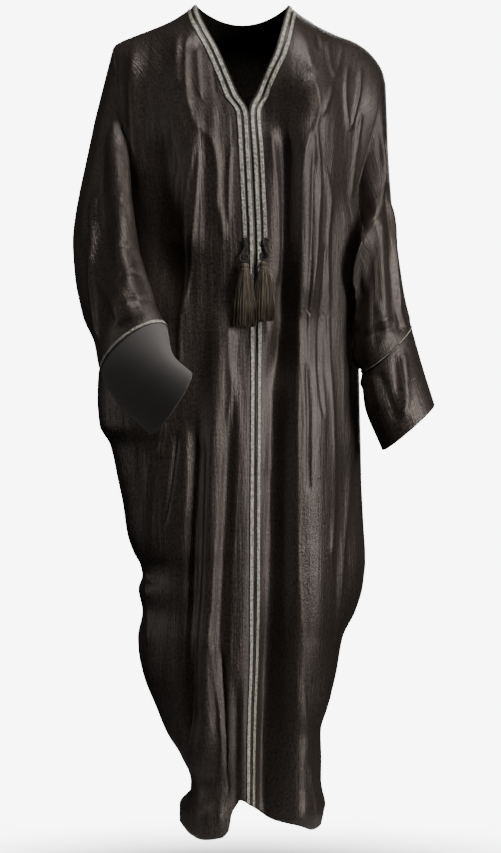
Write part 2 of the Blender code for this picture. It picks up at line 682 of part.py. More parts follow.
def tassel_skirt(name, x, y, tip_y, top, length, material):
    """A tassel's strands in flat layers, which root inside the head and fan out below it."""
    points = []
    faces = []
    middle_layer = (TASSEL_LAYERS - 1) // 2
    for layer in range(-middle_layer, middle_layer + 1):
        depth = layer / middle_layer
        count = TASSEL_COLUMNS - abs(layer) * 2
        for column in range(count):
            side = (column - (count - 1) / 2) / ((TASSEL_COLUMNS - 1) / 2)
            uneven = math.sin(7.3 * column + 2.9 * layer)
            root = np.array([x + side * STRAND_ROOT_OUT * TASSEL_HEAD_RADIUS, y + depth * STRAND_ROOT_DEEP,
                             top - STRAND_ROOT_DOWN * TASSEL_HEAD_TALL])
            reach = length * (1 - STRAND_UNEVEN * (1 - uneven + side**2))
            tip = np.array([x + side * TASSEL_SPREAD, tip_y + depth * TASSEL_DEEP, top - reach])
            bow = np.array([side * STRAND_BOW_OUT, depth * STRAND_BOW_DEEP, 0])
            more, sides = strand(root, tip, bow)
            faces += [tuple(corner + len(points) for corner in face) for face in sides]
            points += more.tolist()
    mesh = bpy.data.meshes.new(name)
    mesh.from_pydata(points, [], faces)
    mesh.materials.append(material)
    skirt = bpy.data.objects.new(name, mesh)
    skirt.hide_render = True
    skirt.display_type = "WIRE"
    cutters.objects.link(skirt)
    return skirt


def braid_front(grid, high, low):
    """y of the foremost braid near the front edge, between two heights."""
    near = grid[:, :TASSEL_OVER_COLUMNS]
    band = (near[..., 2] < high) & (near[..., 2] > low)
    return float(near[..., 1][band].min()) - BRAID_LIFT - BRAID_THICK


def add_tassel(name, place, head_y, tip_y, material):
    """A silk tassel: a waisted head, and strands rooted in it."""
    x, top, length = place
    head = tassel_head(name, x, head_y, top, material)
    union = head.modifiers.new("skirt", "BOOLEAN")
    union.operation = "UNION"
    union.object = tassel_skirt(name + "_skirt", x, head_y, tip_y, top, length, material)
    union.use_self = True
    return head


def add_tie(name, start, end, toward, material):
    """The cord that a tassel hangs by: straight down, then round in an open loop to the head."""
    centre_x = (start[0] + end[0]) / 2 + toward * TIE_SHIFT
    centre_z = end[2] + TIE_LOOP + TIE_LIFT
    path = [start, (start[0], start[1], start[2] - TIE_START)]
    for share in np.linspace(0, 1, TIE_POINTS):
        turn = TIE_FIRST_TURN + (TIE_LAST_TURN - TIE_FIRST_TURN) * share
        path.append((
            centre_x + toward * TIE_LOOP * math.sin(turn),
            start[1] - TIE_FORWARD * min(1, 2 * share),
            centre_z + TIE_LOOP * math.cos(turn),
        ))
    curve = bpy.data.curves.new(name, "CURVE")
    curve.dimensions = "3D"
    curve.bevel_depth = TIE_RADIUS
    curve.bevel_resolution = 1
    curve.use_fill_caps = True
    spline = curve.splines.new("POLY")
    spline.points.add(len(path) - 1)
    for point, place in zip(spline.points, path):
        point.co = (*place, 1)
    curve.materials.append(material)
    made = bpy.data.objects.new(name, curve)
    garment.objects.link(made)
    return made


for old in list(bpy.data.objects):
    bpy.data.objects.remove(old)

garment = bpy.data.collections.new("abaya")
cutters = bpy.data.collections.new("abaya_cutters")
bpy.context.scene.collection.children.link(garment)
bpy.context.scene.collection.children.link(cutters)

satin = colour_material("satin_crepe", (0.028, 0.024, 0.023), 0.42)
cuff_cloth = colour_material("cuff_crepe", (0.035, 0.032, 0.032), 0.75)
braid = colour_material("metal_braid", (0.24, 0.23, 0.20), 0.45, 0.6)
silk = colour_material("tassel_silk", (0.045, 0.038, 0.028), 0.55)
cord = colour_material("tie_cord", (0.010, 0.010, 0.010), 0.6)

right_front = front_panel(-1)
left_front = front_panel(1)
back = back_panel()
add_wall("front_right", right_front, CLOTH_WALL, satin, 1)
add_wall("front_left", left_front, CLOTH_WALL, satin, -1)
add_wall("back", back, CLOTH_WALL, satin, 1)

for name, grid, outward in (("right", right_front, 1), ("left", left_front, -1)):
    inner = braid_strip(grid, 1, outward)
    outer = braid_strip(grid, 3, outward, BRAID_OUTER_END_Z)
    add_wall(f"braid_inner_{name}", inner, BRAID_THICK, braid, outward)
    add_wall(f"braid_outer_{name}", outer, BRAID_THICK, braid, outward)
add_wall("braid_neck_inner", neck_braid(*BRAID_EDGES[:2]), BRAID_THICK, braid, 1)
add_wall("braid_neck_outer", neck_braid(*BRAID_EDGES[2:]), BRAID_THICK, braid, 1)

for name, front, rear, sections, outward in (
    ("right", right_front, back[:, ::-1], SLEEVE_RIGHT, -1),
    ("left", left_front, back, SLEEVE_LEFT, 1),
):
    loop, onward = armhole_loop(front, rear)
    sleeve, cuff = sleeve_rings(sections, loop, onward, sleeve_turns(loop))
    band = cuff_braid(sleeve, outward)
    add_wall(f"sleeve_{name}", sleeve, CLOTH_WALL, satin, outward, closed=True)
    add_wall(f"cuff_{name}", cuff, CLOTH_WALL, cuff_cloth, outward, closed=True)
    add_wall(f"cuff_braid_{name}", band, BRAID_THICK, braid, outward, closed=True)

for name, grid, place, toward in (
    ("right", right_front, TASSEL_RIGHT, -1),
    ("left", left_front, TASSEL_LEFT, 1),
):
    x, top, length = place
    head_over = braid_front(grid, BRAID_OUTER_END_Z + TASSEL_OVER_TALL, top - TASSEL_OVER_TALL)
    tips_over = braid_front(grid, top, top - length - TASSEL_OVER_TALL)
    head_y = head_over - TASSEL_CLEAR - TASSEL_HEAD_RADIUS
    tip_y = tips_over - TASSEL_CLEAR - TASSEL_DEEP - STRAND_RADIUS
    add_tassel(f"tassel_{name}", place, head_y, min(head_y, tip_y), silk)
    start = (x, head_over + TIE_RADIUS - TASSEL_CLEAR, BRAID_OUTER_END_Z - SEAM_GAP)
    add_tie(f"tie_{name}", start, (x, head_y, top + TIE_RADIUS), toward, cord)
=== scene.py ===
"""Looks of a long wide-sleeved abaya of dark satin crepe, with pewter braid and silk tassels.

The frame is in metres with +Z up. The front faces -Y and the wearer's right side is at -X. The
sections follow the garment as it is sewn: fronts, back, sleeves, cuffs, braids, ties and tassels,
then the stage.
"""

import math

import bpy
import numpy as np
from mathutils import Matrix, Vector


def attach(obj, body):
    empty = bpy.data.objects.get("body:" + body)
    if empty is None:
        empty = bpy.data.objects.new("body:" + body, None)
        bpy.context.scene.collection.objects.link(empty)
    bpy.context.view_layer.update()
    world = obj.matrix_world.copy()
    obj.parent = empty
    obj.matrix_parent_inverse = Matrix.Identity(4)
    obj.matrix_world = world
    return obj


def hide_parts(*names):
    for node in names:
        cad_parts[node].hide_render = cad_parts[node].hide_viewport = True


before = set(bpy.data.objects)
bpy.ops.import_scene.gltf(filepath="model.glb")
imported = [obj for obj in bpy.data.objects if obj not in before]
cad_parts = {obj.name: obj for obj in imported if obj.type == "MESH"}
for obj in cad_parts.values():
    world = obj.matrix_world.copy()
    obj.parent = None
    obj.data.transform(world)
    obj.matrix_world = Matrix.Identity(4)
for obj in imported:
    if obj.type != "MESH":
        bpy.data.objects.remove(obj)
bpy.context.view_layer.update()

# CAMERA
# It looks straight at the front from 6 m away and just below half the garment's height, through a
# long lens, so near and far parts keep almost the same scale.
camera_data = bpy.data.cameras.new("front_camera")
camera_data.sensor_width = 36
camera_data.lens = 140.7
camera = bpy.data.objects.new("front_camera", camera_data)
camera.location = (0.001, -6, -0.757)
camera.rotation_euler = (math.pi / 2, 0, 0)
bpy.context.scene.collection.objects.link(camera)
bpy.context.scene.camera = camera


# FRONTS
# Two fronts of satin crepe, cut from the shoulder to the hem, whose edges meet down the middle.
# Each hangs from the shoulder seam in long soft folds, and braid is sewn over its edge.
MM = 0.001
CLOTH_THICK = 0.9 * MM
SEAM_GAP = 0.3 * MM
SHOULDER_ROUND = 100 * MM
SHOULDER_Y = 10 * MM
SHOULDER_LINE = (
    # x, height, in millimetres
    (-262, -96), (-250, -80), (-240, -68), (-209, -54), (-180, -43), (-153, -32), (-117, -13),
    (-104, -3), (-96, 3), (-14, 3), (68, 2), (78, -7.5), (90, -16.5), (113, -31), (158, -53),
    (185, -63), (205, -75), (224, -95), (238, -118), (245, -140), (262, -190),
)
ARMHOLE_HALF_ANGLE = math.radians(21.5)
ARMHOLE_ROUND_Z = -430 * MM
UNDERARM_Z = -560 * MM
SQUARENESS = 0.8
FOLD_FADE_COS = 0.25
BODY_RINGS = (
    # height, reach to the right, to the left, depth to the front, to the back, in millimetres
    (0, 265, 268, 100, 78), (-76, 263, 268, 112, 86), (-173, 250, 257, 128, 98),
    (-260, 243, 237, 136, 104), (-345, 231, 217, 135, 106), (-430, 218, 206, 131, 103),
    (-560, 221, 198, 128, 104), (-615, 246, 196, 129, 108), (-660, 273, 197, 130, 112),
    (-705, 275, 198, 133, 116), (-755, 271, 199, 135, 119), (-790, 252, 200, 136, 121),
    (-853, 238, 201, 137, 124), (-896, 229, 203, 138, 126), (-950, 221, 206, 138, 128),
    (-985, 209, 208, 139, 129), (-1005, 198, 208, 139, 130), (-1025, 194, 206, 140, 131),
    (-1048, 201, 203, 140, 132), (-1090, 194, 190, 140, 133), (-1135, 202, 168, 140, 135),
    (-1158, 201, 163, 140, 135), (-1200, 193, 156, 140, 136), (-1264, 168, 138, 140, 138),
    (-1307, 150, 123, 140, 140), (-1350, 122, 125, 140, 142), (-1390, 98, 124, 140, 143),
    (-1415, 103, 127, 140, 143), (-1443, 127, 133, 141, 144), (-1470, 127, 126, 141, 145),
    (-1500, 118, 117, 142, 145),
)
NECK_EDGES = {
    # x at each height, in millimetres
    -1: ((3, -96), (-37, -82.5), (-81, -59), (-130, -37.5), (-173, -19.5), (-204, -2.6)),
    1: ((2, 68), (-37, 58.5), (-81, 47.5), (-130, 26.5), (-173, 9), (-204, -2.6)),
}
NECK_V_Z = -204 * MM
NECK_MIDDLE = -14 * MM
NECK_HALF_WIDE = 82 * MM
NECK_BACK_DROP = 30 * MM
CENTRE_FRONT = ((-204, -2.6), (-271, 2), (-351, 6), (-410, 8.8), (-587, 10.6), (-886, 9.4),
                (-1133, 8.1), (-1309, 3.1), (-1484, 1.6))
HEM_Z = -1465 * MM
HEM_FADE_Z = -1120 * MM
HEM_FRONT = ((-124, -1466), (-101, -1481), (-74, -1486), (-48, -1482), (-37, -1470), (-31, -1432),
             (-22, -1416), (5, -1428), (25, -1440), (41, -1450), (70, -1460), (104, -1472),
             (128, -1466))
FRONT_FOLDS = (
    # top, bottom, x at four even steps down, half-width, height, length of the fade at the ends
    (-160, -640, -90, -99, -108, -118, 15, 4, 90),
    (-140, -470, -79, -63, -57, -48, 18, 4, 90),
    (-210, -570, -147, -145, -141, -137, 30, -16, 90),
    (-520, -1560, -46, -68, -76, -60, 24, 13, 90),
    (-600, -1480, -12, -12, -20, -24, 20, 3.5, 90),
    (-210, -520, 35, 49, 53, 51, 16, 8, 90),
    (-200, -700, 62, 60, 58, 56, 17, -18, 90),
    (-560, -1560, 42, 40, 36, 30, 24, -20, 120),
    (-1040, -1560, 34, 30, 24, 16, 28, -13, 160),
    (-1150, -1560, 84, 84, 84, 86, 30, 9, 140),
    (-640, -1300, 128, 129, 127, 120, 20, 7, 90),
    (-60, -400, 206, 206, 202, 196, 44, -15, 70),
    (-140, -420, 136, 140, 140, 136, 22, 5, 80),
    (-200, -760, 84, 83, 82, 82, 12, 7, 90),
    (-640, -1560, 73, 74, 75, 77, 13, 7, 120),
    (-640, -1560, 88, 89, 90, 90, 34, 11, 120),
    (-760, -1250, 188, 185, 180, 172, 32, -10, 100),
    (-200, -1230, 96, 100, 102, 102, 24, 10, 90),
    (-720, -1340, -90, -98, -102, -94, 16, -13, 90),
    (-700, -1330, -40, -45, -54, -58, 9, -4, 80),
    (-1180, -1560, -24, -25, -26, -27, 9, -7, 80),
    (-1050, -1560, -102, -96, -86, -76, 26, 8, 90),
    # broad swells
    (-30, -480, -112, -116, -112, -105, 38, 13, 60),
    (-60, -340, -206, -208, -204, -200, 13, 7, 60),
    (-90, -580, 104, 102, 101, 100, 34, 14, 80),
)
FRONT_SWELLS = (
    # x, height, half-width, half-height, how far it stands out, in millimetres
    (104, -150, 44, 75, 18),
    (22, -195, 24, 55, -10),
)
FRONT_RIDGES = (
    # half-width, height, length of the fade at the ends, then height and x along the fold
    # broad lit fold under the right shoulder
    (10.6, 4.5, 21, ((-48, -130.2), (-85, -126.7), (-121, -126.7), (-165, -121.4))),
    # thin fold beside it
    (5, 4, 25, ((-55, -109), (-112, -110.8), (-156, -109), (-203, -105.5))),
    # third streak of the chest
    (5.5, 2.4, 25, ((-70, -93), (-110, -91), (-150, -88), (-190, -84))),
    # hollow beside it
    (5, -2.6, 22, ((-100, -67), (-150, -63), (-185, -59))),
    # bust fold, down to the waist
    (7, 3.2, 28, ((-156, -107.5), (-207, -100.5), (-230, -86.4), (-246, -68.8), (-270, -60),
        (-305, -56.5), (-358, -56.5), (-393, -49.4), (-437, -45.9))),
    # double fold, outer
    (3.9, 3.2, 25, ((-253, -95.7), (-284, -99.2), (-314, -106.2), (-358, -109.8), (-429, -113.3),
        (-517, -116.8), (-555, -120.3), (-605, -123.8), (-661, -123.8))),
    # double fold, inner
    (3.9, 2.4, 21, ((-261, -86.9), (-305, -88.6), (-358, -92.2), (-420, -97.4), (-481, -104.5),
        (-520, -111.5), (-555, -116.8))),
    # faint fold of the chest
    (5.3, 2, 25, ((-253, -128.4), (-297, -126.7), (-327, -133.7), (-376, -137.2), (-446, -140.7))),
    # thin fold by the braid
    (4.4, 3, 21, ((-253, -31.6), (-288, -35.1), (-332, -36.9), (-402, -36.9))),
    # fold under the right tassel
    (6.2, 3, 28, ((-566, -36.3), (-622, -34.6), (-693, -32.8), (-737, -38.1), (-781, -43.4),
        (-834, -50.4), (-886, -52.2), (-930, -53.9), (-974, -57.5), (-1027, -61), (-1071, -62.7),
        (-1115, -68), (-1159, -69.8))),
    # fold by the centre
    (7, 2.6, 35, ((-640, -29.5), (-702, -24.2), (-763, -20.7), (-807, -20.7), (-869, -24.2),
        (-939, -26), (-1010, -29.5), (-1080, -31.3), (-1133, -34.8), (-1203, -36.6),
        (-1247, -34.8), (-1318, -36.6), (-1397, -38.3))),
    # crease left of the long fold
    (3.9, -4, 35, ((-781, -80.9), (-886, -82.6), (-992, -84.4), (-1080, -89.7), (-1159, -95),
        (-1247, -100.2), (-1344, -103.8))),
    # fold at the knee
    (3.9, 3, 25, ((-1133, -63.3), (-1177, -61.5), (-1230, -56.2), (-1283, -50.9), (-1318, -47.4),
        (-1397, -47.4), (-1471, -49.2))),
    # crease beside it
    (3.2, -4, 25, ((-1142, -50.9), (-1221, -45.7), (-1291, -42.1), (-1371, -38.6), (-1415, -36.9))),
    # fold below the cuff
    (4.4, 3, 14, ((-742, -149.5), (-772, -153.1), (-816, -160.1))),
    # fold at the hip
    (8.8, 3, 42, ((-754, -110.8), (-825, -110.8), (-886, -112.6), (-940, -117.0))),
    # crease at the hip
    (4.2, -3.5, 25, ((-763, -126.7), (-834, -135.5), (-886, -142.5), (-939, -153.1))),
    # edge fold of the right side
    (5.3, 3, 42, ((-807, -177.7), (-886, -183), (-966, -186.5), (-1062, -183), (-1168, -177.7))),
    # broad lit fold under the left shoulder
    (8.8, 3.5, 21, ((-48, 93.4), (-94, 100.5), (-138, 104))),
    # long fold of the left front, to the waist
    (4.6, 2.4, 28, ((-133, 104.5), (-168, 113.3), (-196, 116.8), (-228, 109.8), (-249, 97.5),
        (-274, 90.4), (-305, 85), (-358, 82), (-534, 82), (-660, 82.5))),
    # the same, to the hem
    (4.6, 1.5, 60, ((-600, 82.5), (-710, 79), (-851, 79), (-992, 80), (-1133, 85), (-1309, 85),
        (-1371, 88))),
    # crease beside the long fold
    (4, -3.2, 25, ((-262, 107), (-300, 105), (-333, 103.5), (-401, 102), (-470, 98.5), (-539, 97),
        (-625, 97), (-710, 97), (-797, 96), (-880, 97))),
    # fold that meets it
    (5.3, 3, 18, ((-143, 141), (-168, 139.2), (-189, 130.4), (-214, 121.6))),
    # second fold of the left front
    (4.6, 3.4, 21, ((-221, 109.1), (-253, 112.6), (-288, 116.1), (-332, 117.9), (-367, 116.1),
        (-420, 112.6), (-467, 109.1), (-517, 102), (-587, 98.5), (-661, 96.8))),
    # third fold
    (5.3, 3, 21, ((-297, 125.1), (-323, 133.9), (-358, 139.2), (-402, 136), (-446, 134.2),
        (-517, 136), (-587, 137.7), (-661, 141.3), (-763, 146.3), (-886, 149.8), (-992, 141))),
    # crease between them
    (3.5, -2.5, 18, ((-429, 130.4), (-490, 125.1), (-552, 121.6), (-622, 118.1), (-710, 119.8),
        (-746, 126.9))),
    # loop fold at the shoulder, inner
    (5.5, 2.5, 16, ((-60, 137.5), (-108, 141), (-143, 148))),
    # loop fold at the shoulder, outer
    (5.5, 2.2, 16, ((-60, 167.4), (-105, 160.3), (-143, 149.8))),
    # second loop, inner
    (4.2, 3, 18, ((-112, 176.2), (-161, 172.7), (-189, 174.4), (-235, 183.2))),
    # second loop, outer
    (4.2, 3, 18, ((-112, 204.4), (-157, 202.6), (-193, 195.6), (-235, 183.2))),
    # fold by the left armhole
    (4.9, 3, 14, ((-196, 207.9), (-235, 202.6), (-263, 199.1), (-297, 195.6), (-351, 190.3))),
    # fold beside the left braid
    (4.6, 2.2, 18, ((-231, 35.9), (-270, 41.1), (-305, 46.4), (-341, 49.9), (-402, 51.7),
        (-455, 51.7), (-508, 48.2))),
    # soft fold below the left tassel
    (10.6, 3, 35, ((-555, 37.1), (-622, 37.1), (-693, 35.3), (-763, 31.8), (-851, 28.3))),
    # outer fold of the left hip
    (6.5, 2.6, 28, ((-737, 194.3), (-798, 189), (-851, 185.5), (-913, 180.2), (-974, 173.1),
        (-1027, 169.6), (-1098, 162.6), (-1168, 157.3))),
    # fold of the left hem
    (4.6, 3.5, 18, ((-1353, 88.2), (-1388, 93.4), (-1420, 102.2), (-1460, 109.3))),
    # short crease by the left shoulder
    (4.4, -4, 14, ((-40, 116), (-66, 119.8), (-94, 123))),
)
FRONT_WAVES = (
    # height, width and length of a wave, then its shift across and the seed
    (0.9 * MM, 13 * MM, 170 * MM, 20, 3),
    (0.35 * MM, 6 * MM, 80 * MM, 20, 4),
)
RIDGE_POWER = 1.7
NOISE_CELLS = 64
WAVE_SHIFT_DOWN = 30
SETTLING_STEPS = 40
SHOULDER_TURNS = np.array([0, 0.025, 0.2, 0.42, 0.66, 0.95, 1.25, 1.57, 1.9, 2.22])
ROWS_TO_UNDERARM = 4
ROWS_TO_HEM = 15
SIDE_DROP_SHARE = 1.09
UNDERARM_ROW = len(SHOULDER_TURNS) + ROWS_TO_UNDERARM
SETTLE_ROW = 7
SCOOP_ROWS = 6
FINE_ROWS_ABOVE = 140
FINE_ROWS_BELOW = 150
FRONT_COLUMNS = 150


def follow(rows, at):
    """Values on a smooth curve through rows of (place, value, ...).

    Between two rows it is the cubic with each row's slope, which is the harmonic mean of the slopes
    beside it, so the curve never swings past a row.
    """
    rows = np.asarray(rows, float)
    if rows[0, 0] > rows[-1, 0]:
        rows = rows[::-1]
    place, value = rows[:, 0], rows[:, 1:]
    step = np.diff(place)[:, None]
    rise = np.diff(value, axis=0) / step
    product = rise[:-1] * rise[1:]
    total = rise[:-1] + rise[1:]
    middle = np.where(product > 0, 2 * product / np.where(product > 0, total, 1), 0)
    slope = np.vstack([rise[:1], middle, rise[-1:]])
    at = np.clip(np.asarray(at, float), place[0], place[-1])
    i = np.clip(np.searchsorted(place, at) - 1, 0, len(place) - 2)
    t = ((at - place[i]) / step[i, 0])[..., None]
    width = step[i]
    found = (
        (1 + 2 * t) * (1 - t) ** 2 * value[i]
        + t * (1 - t) ** 2 * width * slope[i]
        + t**2 * (3 - 2 * t) * value[i + 1]
        + t**2 * (t - 1) * width * slope[i + 1]
    )
    return found[..., 0] if found.shape[-1] == 1 else found


def ease(t):
    """3t^2 - 2t^3 for t held between 0 and 1."""
    t = np.clip(t, 0, 1)
    return t * t * (3 - 2 * t)


def faded(low, high, at, fade_long):
    """1 between low and high, eased to 0 at both of them over the fade's length."""
    return ease((at - low) / fade_long) * ease((high - at) / fade_long)


def unit(vectors):
    """Each vector divided by its length."""
    return vectors / np.linalg.norm(vectors, axis=-1, keepdims=True)


def step_lengths(points, axis=0):
    """Distance from each point to the next along this axis."""
    return np.linalg.norm(np.diff(points, axis=axis), axis=-1)


def summed(steps):
    """Running total from 0 along the last axis."""
    total = steps.cumsum(axis=-1)
    return np.concatenate([np.zeros_like(total[..., :1]), total], axis=-1)


def cloth_noise(across, along, seed):
    """Smooth uneven waves of -1 to 1: random values on a unit lattice, joined by eased mixing."""
    values = np.random.default_rng(seed).uniform(-1, 1, (NOISE_CELLS, NOISE_CELLS))
    across, along = np.broadcast_arrays(across, along)
    i = np.floor(across).astype(int)
    j = np.floor(along).astype(int)
    s = ease(across - i)
    t = ease(along - j)
    left, right = i % NOISE_CELLS, (i + 1) % NOISE_CELLS
    near, far = j % NOISE_CELLS, (j + 1) % NOISE_CELLS
    low = values[left, near] * (1 - s) + values[right, near] * s
    high = values[left, far] * (1 - s) + values[right, far] * s
    return low * (1 - t) + high * t


def shoulder_height(x):
    """Height of the shoulder line at x."""
    return follow(SHOULDER_LINE, x / MM) * MM


def ring_reach(phi, z):
    """Half-width of the body's ring at height z, on the side that phi is on."""
    rings = follow(BODY_RINGS, z / MM) * MM
    return np.where(phi < 0, rings[..., 0], rings[..., 1])


def fold_height(folds, across, along, closed=False):
    """Sum of the folds: each a bell across its path, eased in and out over its fade at both ends.

    The path runs through its four values, from start to end. Round a closed ring, the way to it is
    the shorter one.
    """
    total = np.zeros(np.broadcast(across, along).shape)
    for start, end, first, second, third, fourth, half_width, height, fade_long in folds:
        steps = np.linspace(start, end, 4)
        gap = across - follow(np.column_stack([steps, (first, second, third, fourth)]), along)
        if closed:
            gap = (gap + 180) % 360 - 180
        fade = faded(min(start, end), max(start, end), along, fade_long)
        total += height * MM * fade * np.exp(-((gap / half_width) ** 2))
    return total


def ridge_height(ridges, along, z):
    """Sum of the narrow folds: each a bell with a sharper crest, on a path through its points."""
    total = np.zeros(np.broadcast(along, z).shape)
    for half_width, height, fade_long, path in ridges:
        path = np.array(path, float)
        line = follow(path, z / MM)
        fade = faded(path[-1, 0], path[0, 0], z / MM, fade_long)
        total += height * MM * fade * np.exp(-(np.abs(along - line) / half_width) ** RIDGE_POWER)
    return total


def with_waves(folds, waves, across, z):
    """The folds' height with small waves added: smooth noise, much longer than it is wide."""
    for height, wide, long, shift, seed in waves:
        noise = cloth_noise(across / wide + shift, z / long + WAVE_SHIFT_DOWN, seed)
        folds = folds + height * noise
    return folds


def front_folds(x, z):
    """Height of the front's folds at x and z: large ones, narrow ones, swells and small waves."""
    folds = fold_height(FRONT_FOLDS, x / MM, z / MM) + ridge_height(FRONT_RIDGES, x / MM, z)
    for place, level, half_width, half_height, height in FRONT_SWELLS:
        reach = ((x / MM - place) / half_width) ** 2 + ((z / MM - level) / half_height) ** 2
        folds = folds + height * MM * np.exp(-reach)
    return with_waves(folds, FRONT_WAVES, x, z)


def body_point(phi, z, fullness, facing, folds):
    """Outer surface of the body at height z, turned by phi from the centre front or centre back.

    x is the reach times sin(phi) and y the depth times cos(phi) to the squareness, drawn in to the
    shoulder line by the fullness. The folds are added along the ring's outward direction.
    """
    phi, z, fullness = np.broadcast_arrays(phi, z, fullness)
    rings = follow(BODY_RINGS, z / MM) * MM
    reach = np.where(phi < 0, rings[..., 0], rings[..., 1])
    depth = rings[..., 2] if facing < 0 else rings[..., 3]
    x = reach * np.sin(phi)
    across = depth * np.cos(phi).clip(0) ** SQUARENESS
    out = unit(np.stack([np.sin(phi) / reach, facing * np.cos(phi) / depth], axis=-1))
    fold = folds(x if facing < 0 else np.degrees(phi), z)
    fold = fold * fullness * ease(np.cos(phi) / FOLD_FADE_COS)
    x = x + fold * out[..., 0]
    half_gap = SEAM_GAP / 2 * (2 - fullness)
    y = SHOULDER_Y + facing * (half_gap + across * fullness) + fold * out[..., 1]
    return np.stack([x, y, z], axis=-1)


def drop_after(arc):
    """Height lost this far down the cloth from the shoulder: a quarter round, then straight."""
    turn = np.minimum(arc / SHOULDER_ROUND, math.pi / 2)
    straight = np.maximum(arc - SHOULDER_ROUND * math.pi / 2, 0)
    return SHOULDER_ROUND * (1 - np.cos(turn)) + straight


def fullness_after(arc):
    """Share of the full depth reached this far down the cloth: the sine of the round's turn."""
    return np.sin(np.minimum(arc / SHOULDER_ROUND, math.pi / 2))


def arc_for(drop):
    """Way down the cloth that loses this height, the reverse of drop_after."""
    turn = np.arccos(np.clip(1 - drop / SHOULDER_ROUND, 0, 1))
    return SHOULDER_ROUND * turn + np.maximum(drop - SHOULDER_ROUND, 0)


def side_turn(phi_sign, z):
    """Turn of a panel's side edge: the armhole, which closes as an ellipse, then the side seam."""
    down = np.clip((ARMHOLE_ROUND_Z - z) / (ARMHOLE_ROUND_Z - UNDERARM_Z), 0, 1)
    return phi_sign * (math.pi / 2 - ARMHOLE_HALF_ANGLE * np.sqrt(1 - down**2))


def rows_below(upper, start):
    """The upper rows' heights, then even ones from the start to the underarm and on to the hem."""
    low = np.linspace(start, UNDERARM_Z, ROWS_TO_UNDERARM + 2)[1:]
    return np.concatenate([upper, low, np.linspace(UNDERARM_Z, HEM_Z, ROWS_TO_HEM + 1)[1:]])


def side_rows(phi_sign):
    """Heights of the panel's rows at its side edge, each found by settling on the shoulder line."""
    turns = SHOULDER_TURNS * SIDE_DROP_SHARE
    phi = phi_sign * (math.pi / 2 - ARMHOLE_HALF_ANGLE)
    z = np.full(len(turns), -SHOULDER_ROUND)
    for _ in range(SETTLING_STEPS):
        x = ring_reach(phi, z) * math.sin(phi)
        z = 0.5 * z + 0.5 * (shoulder_height(x) - drop_after(SHOULDER_ROUND * turns))
    return rows_below(z, z[-1])


def fine_rows(guide, rows):
    """The guide rows' values at finer places, which may lie between two of them."""
    return follow(np.column_stack([np.arange(len(guide)), guide]), rows)


def neck_scoop(x):
    """Way down the cloth from the shoulder line to the back neck's edge, a parabola in height."""
    across = (x - NECK_MIDDLE) / NECK_HALF_WIDE
    return arc_for(NECK_BACK_DROP * np.clip(1 - across**2, 0, 1))


def half_panel(centre_x, centre_z, side_z, phi_sign, facing, folds, rows, shares):
    """Grid of a half panel, from rows of guide values and each point's share of the way across.

    Turn, level and way down the cloth are mixed along each row. Near the shoulder the height comes
    from the way down the cloth, and below it from the level, with an eased change between the two.
    """
    centre_x, centre_z, side_z = (fine_rows(guide, rows) for guide in (centre_x, centre_z, side_z))
    side_phi = side_turn(phi_sign, side_z)
    side_x = ring_reach(side_phi, side_z) * np.sin(side_phi)
    centre_phi = np.arcsin(centre_x / ring_reach(np.sign(centre_x), centre_z))
    side_arc = arc_for(np.maximum(shoulder_height(side_x) - side_z, 0))
    side_arc[0] = 0
    centre_arc = arc_for(np.maximum(shoulder_height(centre_x) - centre_z, 0))
    row = rows[:, None]
    phi = centre_phi[:, None] + (side_phi - centre_phi)[:, None] * shares
    flat = centre_z[:, None] + (side_z - centre_z)[:, None] * shares
    x = ring_reach(phi, flat) * np.sin(phi)
    neck_arc = centre_arc[0]
    if neck_arc > 0:
        own = (centre_arc - neck_arc)[:, None] * (1 - shares) + side_arc[:, None] * shares
        fade = 1 - ease(row / SCOOP_ROWS)
        arc = neck_scoop(x) * fade + own + neck_arc * (1 - fade) * (1 - shares)
    else:
        arc = centre_arc[:, None] + (side_arc - centre_arc)[:, None] * shares
    settle = ease((row - SETTLE_ROW) / (UNDERARM_ROW - SETTLE_ROW))
    z = (1 - settle) * (shoulder_height(x) - drop_after(arc)) + settle * flat
    fullness = (1 - settle) * fullness_after(arc) + settle
    fade = ease((HEM_FADE_Z - flat) / (HEM_FADE_Z - HEM_Z))
    hem = HEM_FRONT if facing < 0 else HEM_BACK
    z = z + fade * (follow(hem, x / MM) * MM - HEM_Z)
    return body_point(phi, z, fullness, facing, folds)


def front_panel(phi_sign, rows, shares):
    """Grid of one front: rows from the shoulder to the hem, shares from its edge to the side."""
    neck = NECK_EDGES[phi_sign]
    top = neck[0][0] * MM
    v_share = (top - NECK_V_Z - SHOULDER_ROUND) / SHOULDER_ROUND + math.pi / 2
    neck_z = top - drop_after(SHOULDER_ROUND * SHOULDER_TURNS * v_share / SHOULDER_TURNS[-1])
    centre_z = rows_below(neck_z, NECK_V_Z)
    neck_x = follow(neck, neck_z / MM) * MM
    centre_x = np.concatenate([neck_x, follow(CENTRE_FRONT, centre_z[len(neck_z):] / MM) * MM])
    centre_x = centre_x + phi_sign * SEAM_GAP / 2
    side_z = side_rows(phi_sign)
    return half_panel(centre_x, centre_z, side_z, phi_sign, -1, front_folds, rows, shares)


def flat_map(grid):
    """Metres across and metres up from the hem at each point, along the cloth's own rows."""
    across = summed(step_lengths(grid, 1))
    down = summed(step_lengths(grid).mean(axis=1))
    return np.stack([across, (down[-1] - down)[:, None] + 0 * across], axis=-1)


def grid_normals(grid):
    """Unit normals of a grid: the cross product of its directions along a row and down a column."""
    return unit(np.cross(np.gradient(grid, axis=1), np.gradient(grid, axis=0)))


def add_object(name, data):
    """A new object that shows this data in the scene."""
    made = bpy.data.objects.new(name, data)
    bpy.context.scene.collection.objects.link(made)
    return made


def stand_in(piece, node):
    """The piece takes the place of a solid of the one body: it hangs from the root, and the solid
    is hidden.
    """
    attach(piece, "root")
    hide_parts(node)


